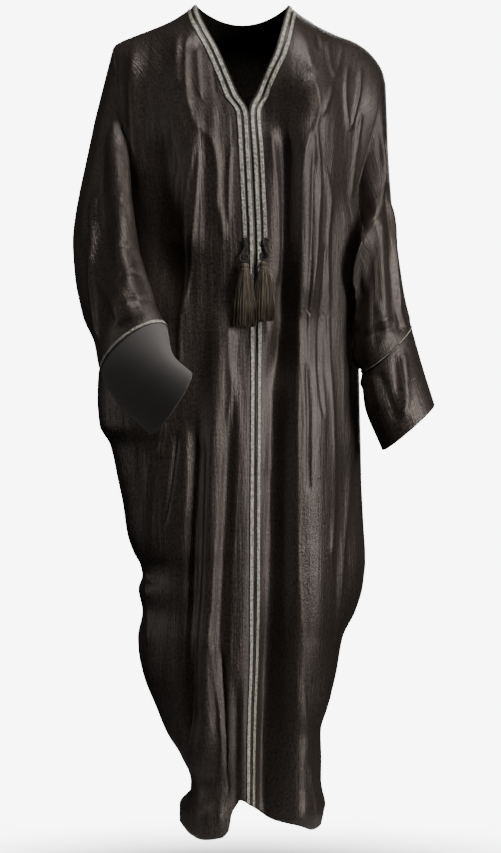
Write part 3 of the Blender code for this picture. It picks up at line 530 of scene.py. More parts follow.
def smooth_mesh(name, points, faces, material):
    """A smooth-shaded mesh of these points and faces, in one material."""
    mesh = bpy.data.meshes.new(name)
    mesh.from_pydata(points.tolist(), [], faces)
    mesh.shade_smooth()
    mesh.materials.append(material)
    return mesh


def cloth_object(name, grid, chart, thick, material, outward, closed=False):
    """A shell on a grid of points, with the chart as its UV map and its thickness by Solidify."""
    rows, columns = grid.shape[:2]
    chart_number = np.arange(rows * chart.shape[1]).reshape(rows, -1)
    number = np.arange(rows * columns).reshape(rows, columns)
    if closed:
        number = np.column_stack([number, number[:, 0]])

    def corners(table):
        four = np.stack([table[:-1, :-1], table[:-1, 1:], table[1:, 1:], table[1:, :-1]], axis=-1)
        four = four.reshape(-1, 4)
        return four if outward > 0 else four[:, ::-1]

    mesh = smooth_mesh(name, grid.reshape(-1, 3), corners(number).tolist(), material)
    layer = mesh.uv_layers.new(name="chart")
    layer.data.foreach_set("uv", chart.reshape(-1, 2)[corners(chart_number).ravel()].ravel())
    made = add_object(name, mesh)
    wall = made.modifiers.new("thickness", "SOLIDIFY")
    wall.thickness = thick
    wall.offset = -1
    wall.use_quality_normals = True
    return made


def set_inputs(tree, node, inputs):
    """Sets a node's inputs: each a socket's name or number, and a value or the output it takes."""
    for socket, value in inputs:
        if isinstance(value, bpy.types.NodeSocket):
            tree.links.new(value, node.inputs[socket])
        else:
            node.inputs[socket].default_value = value


def add_node(tree, kind, inputs=(), **settings):
    """A shader node of this kind, with its inputs and settings."""
    made = tree.nodes.new(kind)
    for setting, value in settings.items():
        setattr(made, setting, value)
    set_inputs(tree, made, inputs)
    return made


def stretched(tree, source, scale):
    """The source's coordinates multiplied by three numbers."""
    return add_node(tree, "ShaderNodeMapping", [(0, source), ("Scale", scale)]).outputs[0]


def noise_node(tree, vector, scale, detail, more=()):
    """Noise of this scale and detail at the vector, from 0 to 1."""
    inputs = [("Vector", vector), ("Scale", scale), ("Detail", detail), *more]
    return add_node(tree, "ShaderNodeTexNoise", inputs).outputs[0]


def range_node(tree, value, **limits):
    """The value moved from one range to another, each 0 to 1 unless a limit says otherwise."""
    named = [(name.replace("_", " ").title(), limit) for name, limit in limits.items()]
    return add_node(tree, "ShaderNodeMapRange", [("Value", value), *named]).outputs[0]


def math_node(tree, operation, first, second=0):
    """The operation on two values, or on the first alone."""
    inputs = [(0, first), (1, second)]
    return add_node(tree, "ShaderNodeMath", inputs, operation=operation).outputs[0]


def colour_node(tree, share, dark, light):
    """The colour that lies this share of the way from dark to light."""
    inputs = [("Factor", share), (6, (*dark, 1)), (7, (*light, 1))]
    return add_node(tree, "ShaderNodeMix", inputs, data_type="RGBA").outputs[2]


def bump_node(tree, height, strength, distance):
    """Normals of a surface raised by the height."""
    inputs = [("Height", height), ("Strength", strength), ("Distance", distance)]
    return add_node(tree, "ShaderNodeBump", inputs).outputs[0]


def new_material(name):
    """A new material, its node tree and its main shader."""
    made = bpy.data.materials.new(name)
    made.use_nodes = True
    return made, made.node_tree, made.node_tree.nodes["Principled BSDF"]


def chart_node(tree):
    """The coordinates of the cloth's chart."""
    return add_node(tree, "ShaderNodeUVMap", uv_map="chart").outputs[0]


def satin_crepe(name, pebble_stretch):
    """Satin crepe: dark threads in two tones, a crinkled pebble grain, and gloss in patches.

    The pebbles change height, metal and colour together, so that light breaks up into specks.
    """
    made, tree, shader = new_material(name)
    chart = chart_node(tree)
    grain = stretched(tree, chart, pebble_stretch)
    pebbles = noise_node(tree, grain, 240, 4, [("Roughness", 0.75)])
    threads = noise_node(tree, stretched(tree, chart, (1, 0.05, 1)), 260, 3)
    patches = noise_node(tree, stretched(tree, chart, (1, 0.25, 1)), 20, 3)
    speck = range_node(tree, pebbles, from_min=0.38, from_max=0.70)
    gloss = range_node(tree, patches, from_min=0.3, from_max=0.7, to_min=0.34, to_max=0.46)
    set_inputs(tree, shader, [
        ("Base Color", colour_node(tree, speck, (0.0020, 0.0016, 0.0014), (0.105, 0.083, 0.070))),
        ("Metallic", math_node(tree, "MULTIPLY", speck, 0.9)),
        ("Roughness", gloss),
        ("Normal", bump_node(tree, math_node(tree, "ADD", pebbles, threads), 0.8, 0.0011)),
        ("Specular IOR Level", 0.6),
        ("Specular Tint", (1.0, 0.91, 0.85, 1)),
    ])
    return made


satin = satin_crepe("satin_crepe", (1, 0.8, 1))
fine_places = np.concatenate([
    np.linspace(0, UNDERARM_ROW, FINE_ROWS_ABOVE + 1),
    np.linspace(UNDERARM_ROW, UNDERARM_ROW + ROWS_TO_HEM, FINE_ROWS_BELOW + 1)[1:],
])
front_shares = np.linspace(0, 1, FRONT_COLUMNS + 1)[None, :]
front_grids = {}
for side, phi_sign, flat_size, flat_area in (
    ("right", -1, (0.35, 1.57), 0.417), ("left", 1, (0.30, 1.53), 0.391),
):
    grid = front_panel(phi_sign, fine_places, front_shares)
    piece = cloth_object(f"front_{side}_cloth", grid, flat_map(grid), CLOTH_THICK, satin, -phi_sign)
    stand_in(piece, f"front_{side}")
    front_grids[side] = grid


# BACK
# One wide back of the same satin crepe, sewn to the fronts at the shoulders and down the sides. Its
# neck edge is scooped. It hangs in seven deep soft folds, with a hollow beside two of them.
HEM_BACK = ((-124, -1466), (-95, -1468), (-60, -1450), (-20, -1441), (15, -1445), (60, -1464),
            (95, -1460), (128, -1466))
BACK_FOLDS = (
    # top, bottom, turn from the centre back at four even steps, half-width in degrees, height, fade
    (-170, -1560, -44, -42, -44, -48, 7, 17, 90),
    (-240, -1560, -24, -22, -20, -22, 6, 15, 90),
    (-150, -1560, -6, -3, 2, 4, 6, 18, 90),
    (-260, -1560, 16, 20, 24, 26, 6, 14, 90),
    (-180, -1560, 40, 43, 46, 50, 7, 18, 90),
    (-520, -1560, -68, -66, -64, -66, 6, 13, 90),
    (-560, -1560, 64, 66, 68, 70, 6, 13, 90),
    (-420, -1560, -33, -32, -32, -35, 5, -12, 90),
    (-380, -1560, 30, 31, 35, 38, 5, -12, 90),
)
BACK_WAVES = (
    # the same for the back, with the width in degrees
    (1.5 * MM, 3.6, 180 * MM, 40, 5),
    (0.5 * MM, 1.7, 80 * MM, 70, 6),
)
BACK_NECK_ROWS = np.array([0, 12, 45, 85, 125, 170, 215, 260, 310, 360]) * MM
NECK_TOP_Z = 3 * MM
SIDE_SPREAD = 1.25


def back_folds(turn, z):
    """Height of the back's folds at a turn in degrees: the large ones and the small waves."""
    return with_waves(fold_height(BACK_FOLDS, turn, z / MM), BACK_WAVES, turn, z)


def back_half(phi_sign, rows, shares):
    """Grid of half the back, from the centre back to the side."""
    upper = NECK_TOP_Z - NECK_BACK_DROP - BACK_NECK_ROWS
    centre_z = rows_below(upper, upper[-1])
    centre_x = np.zeros(len(centre_z))
    side_z = side_rows(phi_sign)
    return half_panel(centre_x, centre_z, side_z, phi_sign, 1, back_folds, rows, shares)


def back_shares(phi_sign, to_neck, to_side):
    """Shares of a row, close near the neck point: a sine from the centre, a power to the side."""
    neck_x = NECK_MIDDLE + phi_sign * NECK_HALF_WIDE
    neck_turn = math.asin(neck_x / float(ring_reach(phi_sign, np.array(0.0))))
    neck_share = neck_turn / float(side_turn(phi_sign, np.array(0.0)))
    near = neck_share * np.sin(np.linspace(0, math.pi / 2, to_neck + 1))
    spread = np.linspace(0, 1, to_side + 1)[1:] ** SIDE_SPREAD
    return np.concatenate([near, neck_share + (1 - neck_share) * spread])[None, :]


right_half = back_half(-1, fine_places, back_shares(-1, 20, 42))
left_half = back_half(1, fine_places, back_shares(1, 16, 46))
back_grid = np.concatenate([right_half[:, ::-1], left_half[:, 1:]], axis=1)
back_piece = cloth_object("back_cloth", back_grid, flat_map(back_grid), CLOTH_THICK, satin, 1)
stand_in(back_piece, "back")


# SLEEVES
# Wide sleeves of satin crepe, each one piece set into its armhole. The right one is drawn in by the
# bent elbow, and both end where the cuff is sewn on.
SLEEVE_SECTIONS = {
    # outer, front, inner, back point of each ring, from the upper arm to the cuff's rim
    "right": (
        ((-288, -6, -248), (-214, -92, -385), (-223, -42, -573), (-273, 72, -400)),
        ((-307, -28, -400), (-200, -120, -445), (-217, -64, -591), (-294, 34, -500)),
        ((-288, -95, -495), (-184, -152, -496), (-208, -88, -608), (-283, -22, -568)),
        ((-258, -156, -560), (-167, -188, -543), (-194, -110, -623), (-264, -74, -628)),
        ((-232, -206, -616), (-150, -214, -579), (-177, -132, -639), (-254, -124, -676)),
        ((-186, -240, -671), (-134, -246, -631), (-171, -160, -674), (-232, -154, -716)),
        ((-128, -266, -724), (-100, -272, -664), (-146, -190, -713), (-174, -182, -771)),
    ),
    "left": (
        ((250, 0, -300), (222, -84, -420), (200, -28, -573), (226, 74, -430)),
        ((262, -10, -420), (228, -95, -495), (196, -46, -591), (237, 62, -500)),
        ((276, -20, -520), (234, -100, -560), (195, -56, -615), (243, 44, -572)),
        ((284, -28, -557), (243, -102, -595), (196, -60, -640), (244, 32, -596)),
        ((289, -35, -579), (251, -104, -625), (199, -62, -661), (244, 20, -615)),
        ((308, -46, -648), (259, -112, -688), (203, -66, -716), (254, 6, -674)),
        ((329, -56, -717), (287, -116, -761), (235, -70, -799), (278, -6, -750)),
    ),
}
ARMHOLE_ROW = -1
FREE_ROW = 0.5
CUFF_SEAM_ROW = 4
SEAM_ROWS = 0.06
SLEEVE_RINGS = (60, 120)
CUFF_RINGS = 50
CREASE_STEP = 3 * MM
SEAM_TURN = 2.5 * MM
ARMHOLE_EASE = 12 * MM
SLEEVE_WAVE_TALL = 1.2 * MM
SLEEVE_FOLDS = {
    "right": (
        # start, end, turn at four even steps in degrees, half-width in degrees, height, fade
        (-1.2, 3.2, -60, -72, -84, -96, 9, 4, 0.8),
        (-1.2, 3.4, -100, -108, -112, -118, 8, -3, 0.8),
        (-1.0, 3.9, -30, -36, -44, -52, 9, -4, 0.8),
        (0.4, 3.9, -10, -14, -20, -22, 8, 3, 0.8),
        (1.6, 3.9, -70, -62, -56, -52, 6, 3, 0.6),
        (-1.2, 3.0, 60, 64, 66, 70, 10, 5, 0.8),
        (-1.2, 3.4, 100, 104, 110, 116, 9, -5, 0.8),
        (-0.8, 3.4, 30, 34, 40, 44, 8, -3, 0.8),
    ),
    "left": (
        (-1.2, 3.4, -70, -76, -84, -90, 9, 4, 0.8),
        (-1.0, 3.9, -40, -44, -52, -60, 9, -4, 0.8),
        (-1.2, 3.4, -104, -108, -112, -116, 8, -3, 0.8),
        (0.2, 3.9, -16, -16, -20, -22, 8, 3, 0.8),
        (-1.2, 3.0, 60, 64, 66, 70, 10, 5, 0.8),
        (-1.2, 3.4, 100, 104, 110, 116, 9, -5, 0.8),
        (-0.8, 3.4, 30, 34, 40, 44, 8, -3, 0.8),
    ),
}

SLEEVE_CREASES = {
    # half-width, height, length of the fade at the ends, then x, y, z along the fold
    "right": (
        # rounded front edge, from the armhole to the elbow
        (19, 19, 60, ((-236, -47, -210), (-233, -65, -283), (-229, -91, -356), (-222, -113, -428),
            (-214, -150, -482), (-206, -185, -536), (-196, -221, -590))),
        # thin fold of the outside
        (8, 6, 40, ((-277, -50, -335), (-280, -60, -389), (-280, -84, -444), (-281, -107, -498),
            (-277, -123, -534), (-269, -140, -587), (-263, -158, -614))),
        # lower crease inside the elbow
        (7, -3.8, 22, ((-228, -189, -554), (-209, -192, -547), (-191, -199, -542),
            (-178, -191, -537), (-169, -183, -535))),
        # upper crease inside the elbow
        (6.5, -3.8, 20, ((-230, -151, -502), (-214, -161, -500), (-199, -163, -497),
            (-186, -158, -493))),
        # small creases above them
        (6, -2.6, 16, ((-238, -118, -454), (-222, -125, -449), (-204, -128, -446))),
        (6, -2.2, 16, ((-243, -82, -355), (-229, -89, -350), (-218, -82, -345))),
    ),
    "left": (
        # rounded inner edge
        (17, 14, 40, ((226, -76, -370), (214, -70, -432), (205, -66, -475), (201, -60, -520),
            (198, -60, -560), (196, -61, -610), (196, -61, -670))),
        # fold along the inside
        (7.9, 8, 40, ((243, -44, -227), (241, -45, -281), (239, -49, -317), (233, -69, -354),
            (224, -76, -394), (212, -66, -443), (203, -61, -482), (198, -44, -531))),
        # fold beside it
        (5.2, 5, 25, ((220, -76, -417), (215, -75, -452), (210, -78, -488), (208, -86, -524))),
        # crease between them
        (7, -3.5, 35, ((235, -55, -291), (232, -65, -336), (226, -73, -369), (217, -65, -404))),
        # broad fold of the outside
        (8.8, 7, 50, ((246, -48, -335), (254, -40, -388), (257, -51, -442), (262, -61, -505),
            (267, -78, -568))),
        # crease of the outside
        (6.5, -3.5, 35, ((246, -67, -443), (249, -74, -488), (252, -82, -532), (257, -94, -582))),
        # crease above the cuff
        (5, -3, 16, ((202, -93, -602), (220, -101, -592), (239, -104, -586), (261, -90, -582),
            (279, -73, -580))),
        # soft fold above it
        (5.2, 3, 10, ((206, -96, -588), (227, -102, -572), (252, -92, -563))),
        # small fold between them
        (4.4, 3, 15, ((225, -99, -533), (230, -101, -560), (235, -104, -586))),
    ),
}
SLEEVE_BULGES = {
    # the same rows, for how far the cloth stands forward of its round
    "right": (
        # flat front of the lower sleeve
        (27, 22, 90, ((-232, -102, -380), (-232, -112, -410), (-232, -122, -446),
            (-231, -136, -482), (-230, -160, -518), (-229, -182, -554), (-228, -192, -580),
            (-228, -205, -610))),
    ),
    "left": (
        # folded inner edge
        (22, 36, 40, ((208, -62, -400), (199, -58, -440), (192, -54, -480), (188, -50, -520),
            (186, -48, -560), (186, -50, -600))),
    ),
}
CUFF_CREASES = {
    "right": (),
    "left": (
        # rounded inner edge
        (14, 5, 14, ((197, -61, -640), (199, -63, -670), (202, -65, -690))),
        # fold of the outside
        (7, 5, 15, ((271, -97, -625), (274, -104, -666), (276, -112, -710), (268, -115, -742))),
        # hollow of the middle
        (6.1, -4, 12, ((228, -105, -661), (239, -111, -689), (249, -114, -717), (258, -114, -746))),
        # fold of the inside
        (4.4, 3.5, 12, ((216, -98, -666), (223, -105, -696), (230, -107, -724))),
        # hollow beside the outer fold
        (4.4, -3, 12, ((255, -103, -625), (258, -109, -666), (261, -113, -701))),
    ),
}


def armhole_loop(front, rear, last):
    """The armhole's edge, down the front and up the back, and the way on past it, square to it."""
    loop = np.concatenate([front[: last + 1, -1], rear[1:last, -1][::-1]])
    along = unit(np.roll(loop, -1, axis=0) - np.roll(loop, 1, axis=0))
    onward = np.concatenate([
        unit(front[: last + 1, -1] - front[: last + 1, -2]),
        unit(rear[1:last, -1] - rear[1:last, -2])[::-1],
    ])
    onward[last] = (0, 0, 1)
    onward -= along * np.sum(along * onward, axis=-1, keepdims=True)
    return loop, unit(onward)


def loop_turns(loop, last):
    """Each loop point's turn from the shoulder tip: half a turn over each edge, by the way."""
    closed = np.concatenate([loop, loop[:1]])
    way = summed(step_lengths(closed))
    front = -math.pi * way[: last + 1] / way[last]
    back = math.pi * (way[-1] - way[last + 1:-1]) / (way[-1] - way[last])
    return np.concatenate([front, back])


def section_rings(sections, places, turns):
    """Rings at places along the sections, each through its outer, front, inner and back point.

    A ring is the points' mean, a first harmonic through each opposite pair, and a second harmonic.
    """
    table = np.array(sections, float).reshape(len(sections), 12) * MM
    found = follow(np.column_stack([np.arange(len(sections)), table]), places)
    outer, front, inner, rear = (found[..., None, i:i + 3] for i in (0, 3, 6, 9))
    turns = turns[:, None]
    return (
        (outer + front + inner + rear) / 4
        + (outer - inner) / 2 * np.cos(turns)
        + (rear - front) / 2 * np.sin(turns)
        + (outer + inner - front - rear) / 4 * np.cos(2 * turns)
    )


def ring_normals(rings):
    """Unit normals of closed rings, from the directions round and along them."""
    around = np.roll(rings, -1, axis=1) - np.roll(rings, 1, axis=1)
    return unit(np.cross(around, np.gradient(rings, axis=0)))


def crease_height(creases, points):
    """Sum of folds on 3-D paths: each a bell of the distance to its path, eased in at both ends."""
    total = np.zeros(points.shape[:-1])
    for half_width, height, fade_long, path in creases:
        path = np.array(path, float) * MM
        way = summed(step_lengths(path))
        steps = np.linspace(0, way[-1], int(way[-1] / CREASE_STEP) + 2)
        line = follow(np.column_stack([way, path]), steps)
        gap = np.linalg.norm(points[..., None, :] - line, axis=-1)
        nearest = steps[gap.argmin(axis=-1)]
        fade = faded(-CREASE_STEP, way[-1] + CREASE_STEP, nearest, fade_long * MM)
        bell = np.exp(-(gap.min(axis=-1) / (half_width * MM)) ** RIDGE_POWER)
        total += height * MM * fade * bell
    return total


def ring_chart(rings):
    """Metres round and metres along at each point of closed rings, the first point repeated."""
    closed = np.concatenate([rings, rings[:, :1]], axis=1)
    round_way = summed(step_lengths(closed, 1).mean(axis=0))[None, :]
    along = summed(step_lengths(rings).mean(axis=1))[:, None]
    return np.stack(np.broadcast_arrays(round_way, along), axis=-1)


def sleeve_noise(places, turns, seed):
    """Small uneven waves on a sleeve, drawn out along it. They join where a ring closes."""
    spin = 11 + 3.4 * np.stack([np.cos(turns), np.sin(turns)])[:, None, :]
    places = places[:, None] * 0.7
    return cloth_noise(spin[0] + 0.3 * places, spin[1] + places, seed)


def sleeve_grids(side, loop, onward, turns, outward):
    """Rings of a sleeve from its armhole to the cuff seam, and rings of the cuff to its rim."""
    sections = SLEEVE_SECTIONS[side]
    upper = np.linspace(ARMHOLE_ROW, FREE_ROW, SLEEVE_RINGS[0])
    lower = np.linspace(FREE_ROW, CUFF_SEAM_ROW - SEAM_ROWS, SLEEVE_RINGS[1])[1:]
    places = np.concatenate([upper, lower])
    share = ((places - ARMHOLE_ROW) / (FREE_ROW - ARMHOLE_ROW))[:, None, None]
    start = loop + onward * (SEAM_TURN + share * ARMHOLE_EASE)
    rings = start + (section_rings(sections, np.maximum(places, 0), turns) - start) * ease(share)
    seam, above, below = (section_rings(sections, np.array(CUFF_SEAM_ROW + step), turns)
                          for step in (0, -0.05, 0.05))
    down = unit(below - above)
    head = [loop + onward * SEAM_GAP, loop + onward * SEAM_TURN / 2]
    rings = np.concatenate([head, rings, [seam - down * SEAM_TURN, seam - down * SEAM_GAP / 2]])
    places = np.concatenate([[-1.1, -1.05], places, [CUFF_SEAM_ROW - 0.02, CUFF_SEAM_ROW]])
    degrees = np.degrees(turns)[None, :]
    fold = fold_height(SLEEVE_FOLDS[side], degrees, places[:, None], closed=True)
    ends = faded(ARMHOLE_ROW, CUFF_SEAM_ROW - 0.1, places, 0.4)
    fold = fold + SLEEVE_WAVE_TALL * ends[:, None] * sleeve_noise(places, turns, 8)
    fold = fold + ends[:, None] * crease_height(SLEEVE_CREASES[side], rings)
    bulge = ends[:, None] * crease_height(SLEEVE_BULGES[side], rings)
    rings = rings + ring_normals(rings) * outward * fold[..., None]
    rings = rings - bulge[..., None] * np.array([0, 1, 0])
    cuff_places = np.linspace(CUFF_SEAM_ROW + SEAM_ROWS, len(sections) - 1, CUFF_RINGS)
    cuff = np.concatenate([
        [seam + down * SEAM_GAP / 2, seam + down * SEAM_TURN],
        section_rings(sections, cuff_places, turns),
    ])
    cuff_fold = crease_height(CUFF_CREASES[side], cuff)
    cuff_fold *= ease(np.linspace(-0.1, 4, len(cuff)))[:, None]
    return rings, cuff + ring_normals(cuff) * outward * cuff_fold[..., None]


sleeve_satin = satin_crepe("satin_crepe_sleeve", (0.42, 1.05, 1))
sleeve_rings = {}
cuff_rings = {}
for side, rear, outward, flat_size, flat_area in (
    ("right", back_grid[:, ::-1], -1, (1.02, 0.63), 0.202),
    ("left", back_grid, 1, (0.84, 0.45), 0.127),
):
    loop, onward = armhole_loop(front_grids[side], rear, FINE_ROWS_ABOVE)
    # every second point is enough round a sleeve
    loop, onward = loop[::2], onward[::2]
    turns = loop_turns(loop, FINE_ROWS_ABOVE // 2)
    rings, cuff = sleeve_grids(side, loop, onward, turns, outward)
    piece = cloth_object(f"sleeve_{side}_cloth", rings, ring_chart(rings), CLOTH_THICK,
                         sleeve_satin, outward, closed=True)
    stand_in(piece, f"sleeve_{side}")
    sleeve_rings[side] = rings
    cuff_rings[side] = cuff


# CUFFS
# A plain flared cuff is sewn to the end of each sleeve. The right one is of matte crepe, which
# looks greyer than the sleeve above it, and the left one is of the sleeve's satin.


def matte_crepe(name):
    """Matte crepe: charcoal threads in two tones, a fine twill-like grain, and a soft bloom."""
    made, tree, shader = new_material(name)
    chart = chart_node(tree)
    grain = noise_node(tree, chart, 900, 2, [("Roughness", 0.6)])
    set_inputs(tree, shader, [
        ("Base Color", colour_node(tree, grain, (0.062, 0.056, 0.053), (0.130, 0.117, 0.111))),
        ("Roughness", range_node(tree, grain, to_min=0.65, to_max=0.85)),
        ("Normal", bump_node(tree, grain, 0.3, 0.0003)),
        ("Specular IOR Level", 0.3),
        ("Sheen Weight", 0.15),
        ("Sheen Roughness", 0.5),
    ])
    return made


cuff_cloth = matte_crepe("cuff_crepe")
for side, outward, flat_size, flat_area, material in (
    ("right", -1, (0.42, 0.16), 0.049, cuff_cloth), ("left", 1, (0.39, 0.15), 0.0525, sleeve_satin),
):
    cuff = cuff_rings[side]
    piece = cloth_object(f"cuff_{side}_cloth", cuff, ring_chart(cuff), CLOTH_THICK, material,
                         outward, closed=True)
    stand_in(piece, f"cuff_{side}")


# BRAIDS
# Flat plaited braid of pewter metal thread, 8 mm wide, stitched over each front edge: an inner row
# that runs to the hem and an outer row that is cut square above the tassels. Both go on round the
# back neck, and a slightly narrower one covers each cuff seam.
BRAID_EDGES = (
    # row, and where it begins and ends from the cloth's edge
    ("inner", 2.5 * MM, 10.5 * MM),
    ("outer", 14 * MM, 22 * MM),
)
BRAID_OUTER_END_Z = -427 * MM
BRAID_LIFT = 0.6 * MM
BRAID_THICK = 1.2 * MM
BRAID_RIM = 0.35 * MM
BRAID_SHELL = 0.8 * MM
BRAID_COLUMNS = 10
BRAID_STEPS = 560
STITCH_LONG = 2.6 * MM
STITCH_SLANT = 1.6


def metal_braid(name):
    """Plaited metal thread: two rows of slanting stitches that meet in a V, with dark gaps between.

    The stitches are a sine of the way along, shifted by the distance from the middle. Bright specks
    of painted glint are mixed into the colour, and painted shade darkens it towards both edges.
    """
    made, tree, shader = new_material(name)
    chart = chart_node(tree)
    split = add_node(tree, "ShaderNodeSeparateXYZ", [(0, chart)])
    place = add_node(tree, "ShaderNodeTexCoord").outputs["Object"]
    across = math_node(tree, "ABSOLUTE", math_node(tree, "SUBTRACT", split.outputs[0], 0.5))
    slant = math_node(tree, "MULTIPLY", across, 2 * math.pi * STITCH_SLANT)
    along = math_node(tree, "MULTIPLY", split.outputs[1], 2 * math.pi / STITCH_LONG)
    wave = math_node(tree, "SINE", math_node(tree, "ADD", along, slant))
    stitch = math_node(tree, "ADD", math_node(tree, "MULTIPLY", wave, 0.3), 0.7)
    # painted glint: this noise puts bright specks into the colour, and it also varies the roughness
    painted_glints_and_gloss = noise_node(tree, place, 900, 2)
    knots = noise_node(tree, place, 230, 3)
    lumps = range_node(tree, knots, from_min=0.40, from_max=0.60, to_min=0.34)
    # painted shade: the colour darkens towards both edges, where the braid rounds down to the cloth
    rim = range_node(tree, across, from_min=0.25, from_max=0.5, to_min=1, to_max=0.12)
    lit = math_node(tree, "MULTIPLY", stitch, math_node(tree, "ADD", painted_glints_and_gloss, 0.5))
    shade = math_node(tree, "MULTIPLY", lit, math_node(tree, "MULTIPLY", lumps, rim))
    gloss = range_node(tree, painted_glints_and_gloss, from_min=0.3, from_max=0.7, to_min=0.30, to_max=0.5)
    set_inputs(tree, shader, [
        ("Base Color", colour_node(tree, shade, (0.045, 0.043, 0.034), (0.66, 0.63, 0.53))),
        ("Roughness", gloss),
        ("Normal", bump_node(tree, shade, 1.0, 0.0009)),
        ("Metallic", 0.35),
    ])
    return made


def braid_height(columns):
    """Height across a braid: low at its edges, and two rounded rows with a groove between."""
    across = np.linspace(0, 1, columns)
    edge = np.minimum(across, 1 - across) * 2
    groove = np.exp(-(((across - 0.5) / 0.07) ** 2))
    profile = np.sqrt(np.clip(1 - (1 - np.clip(edge * 2.5, 0, 1)) ** 2, 0, 1)) * (1 - 0.25 * groove)
    return BRAID_LIFT + BRAID_RIM + (BRAID_THICK - BRAID_RIM) * profile


def add_braid(node, strip, normals, outward):
    """A braid on a strip of the cloth's points: moved out by its height, with its own chart."""
    lifted = strip + normals * braid_height(strip.shape[1])[None, :, None]
    lengths = summed(step_lengths(strip[:, BRAID_COLUMNS // 2]))[:, None]
    across = np.linspace(0, 1, strip.shape[1])[None, :]
    chart = np.stack(np.broadcast_arrays(across, lengths), axis=-1)
    piece = cloth_object(f"{node}_thread", lifted, chart, BRAID_SHELL, pewter_braid, outward)
    stand_in(piece, node)


def front_strip(phi_sign, rows, near, far):
    """The front's own points between two distances from its edge, and the cloth's normals there."""
    coarse_shares = np.linspace(0, 0.25, 60)[None, :]
    coarse = front_panel(phi_sign, rows, coarse_shares)
    tangent = unit(np.gradient(coarse[:, 0], axis=0))
    across = unit(coarse[:, 1] - coarse[:, 0])
    square = np.sqrt(1 - np.sum(tangent * across, axis=-1) ** 2)
    way = summed(step_lengths(coarse, 1)) * square[:, None]
    wanted = np.linspace(near, far, BRAID_COLUMNS)
    shares = np.array([np.interp(wanted, row, coarse_shares[0]) for row in way])
    strip = front_panel(phi_sign, rows, shares)
    return strip, grid_normals(strip) * -phi_sign


pewter_braid = metal_braid("metal_braid")
braid_places = np.linspace(0, UNDERARM_ROW + ROWS_TO_HEM, BRAID_STEPS)
for side, phi_sign in (("right", -1), ("left", 1)):
    for kind, near, far in BRAID_EDGES:
        strip, normals = front_strip(phi_sign, braid_places, near, far)
        if kind == "outer":
            kept = int(np.sum(strip[:, 0, 2] > BRAID_OUTER_END_Z))
            strip, normals = strip[:kept], normals[:kept]
        add_braid(f"braid_{kind}_{side}", strip, normals, -phi_sign)


NECK_STEPS = 161
SURFACE_STEP = 0.5 * MM
CUFF_BRAID_WIDE = 7.5 * MM


def upper_back(x, arc):
    """Point of the back's outer surface at x, this way down the cloth from the shoulder line."""
    z = shoulder_height(x) - drop_after(arc)
    return body_point(np.arcsin(x / ring_reach(x, z)), z, fullness_after(arc), 1, back_folds)


def back_ways(x, arc):
    """How the back's surface moves as x grows, and as the way down the cloth does."""
    step = SURFACE_STEP
    by_x = (upper_back(x + step, arc) - upper_back(x - step, arc)) / (2 * step)
    by_arc = (upper_back(x, arc + 2 * step) - upper_back(x, arc + step)) / step
    return by_x, by_arc


def neck_strip(near, far):
    """Points of the back between two distances from the neck's edge, and the cloth's normals there.

    The edge is the scoop. The way on from each of its points lies in the cloth, square to the edge.
    """
    turns = np.linspace(-math.pi / 2, math.pi / 2, NECK_STEPS)
    x = NECK_MIDDLE + NECK_HALF_WIDE * np.sin(turns)
    arc = arc_for(NECK_BACK_DROP * np.cos(turns) ** 2)
    along = unit(np.gradient(upper_back(x, arc), axis=0))
    by_x, by_arc = back_ways(x, arc)
    across = unit(np.cross(along, np.cross(by_x, by_arc)))
    across *= np.sign(np.sum(across * by_arc * np.cos(turns)[:, None], axis=-1, keepdims=True)
                      + np.sum(across * by_x * np.sin(turns)[:, None], axis=-1, keepdims=True))
    across[[0, -1]] = unit(by_x[[0, -1]]) * np.array([[-1], [1]])
    way_x = np.sum(across * by_x, axis=-1) / np.sum(by_x**2, axis=-1)
    way_arc = np.sum(across * by_arc, axis=-1) / np.sum(by_arc**2, axis=-1)
    distances = np.linspace(near, far, BRAID_COLUMNS)[None, :]
    there = x[:, None] + way_x[:, None] * distances
    down = np.maximum(arc[:, None] + way_arc[:, None] * distances, 0)
    return upper_back(there, down), unit(np.cross(*back_ways(there, down)))


for kind, near, far in BRAID_EDGES:
    strip, normals = neck_strip(near, far)
    add_braid(f"braid_neck_{kind}", strip, normals, -1)

for side, outward in (("right", -1), ("left", 1)):
    rings = sleeve_rings[side]
    ways = np.linspace(CUFF_BRAID_WIDE, SEAM_GAP / 2, BRAID_COLUMNS)[:, None, None]
    band = np.where(
        ways > SEAM_TURN,
        rings[-2] + unit(rings[-3] - rings[-2]) * (ways - SEAM_TURN),
        rings[-2] + unit(rings[-1] - rings[-2]) * (SEAM_TURN - ways),
    )
    height = braid_height(BRAID_COLUMNS)[:, None, None]
    lifted = band + ring_normals(band) * outward * height
    round_way = ring_chart(band)[:, :, 0]
    across = np.linspace(0, 1, BRAID_COLUMNS)[:, None] + 0 * round_way
    chart = np.stack([across, round_way], axis=-1)
    piece = cloth_object(f"cuff_braid_{side}_thread", lifted, chart, BRAID_SHELL, pewter_braid,
                         outward, closed=True)
    stand_in(piece, f"cuff_braid_{side}")


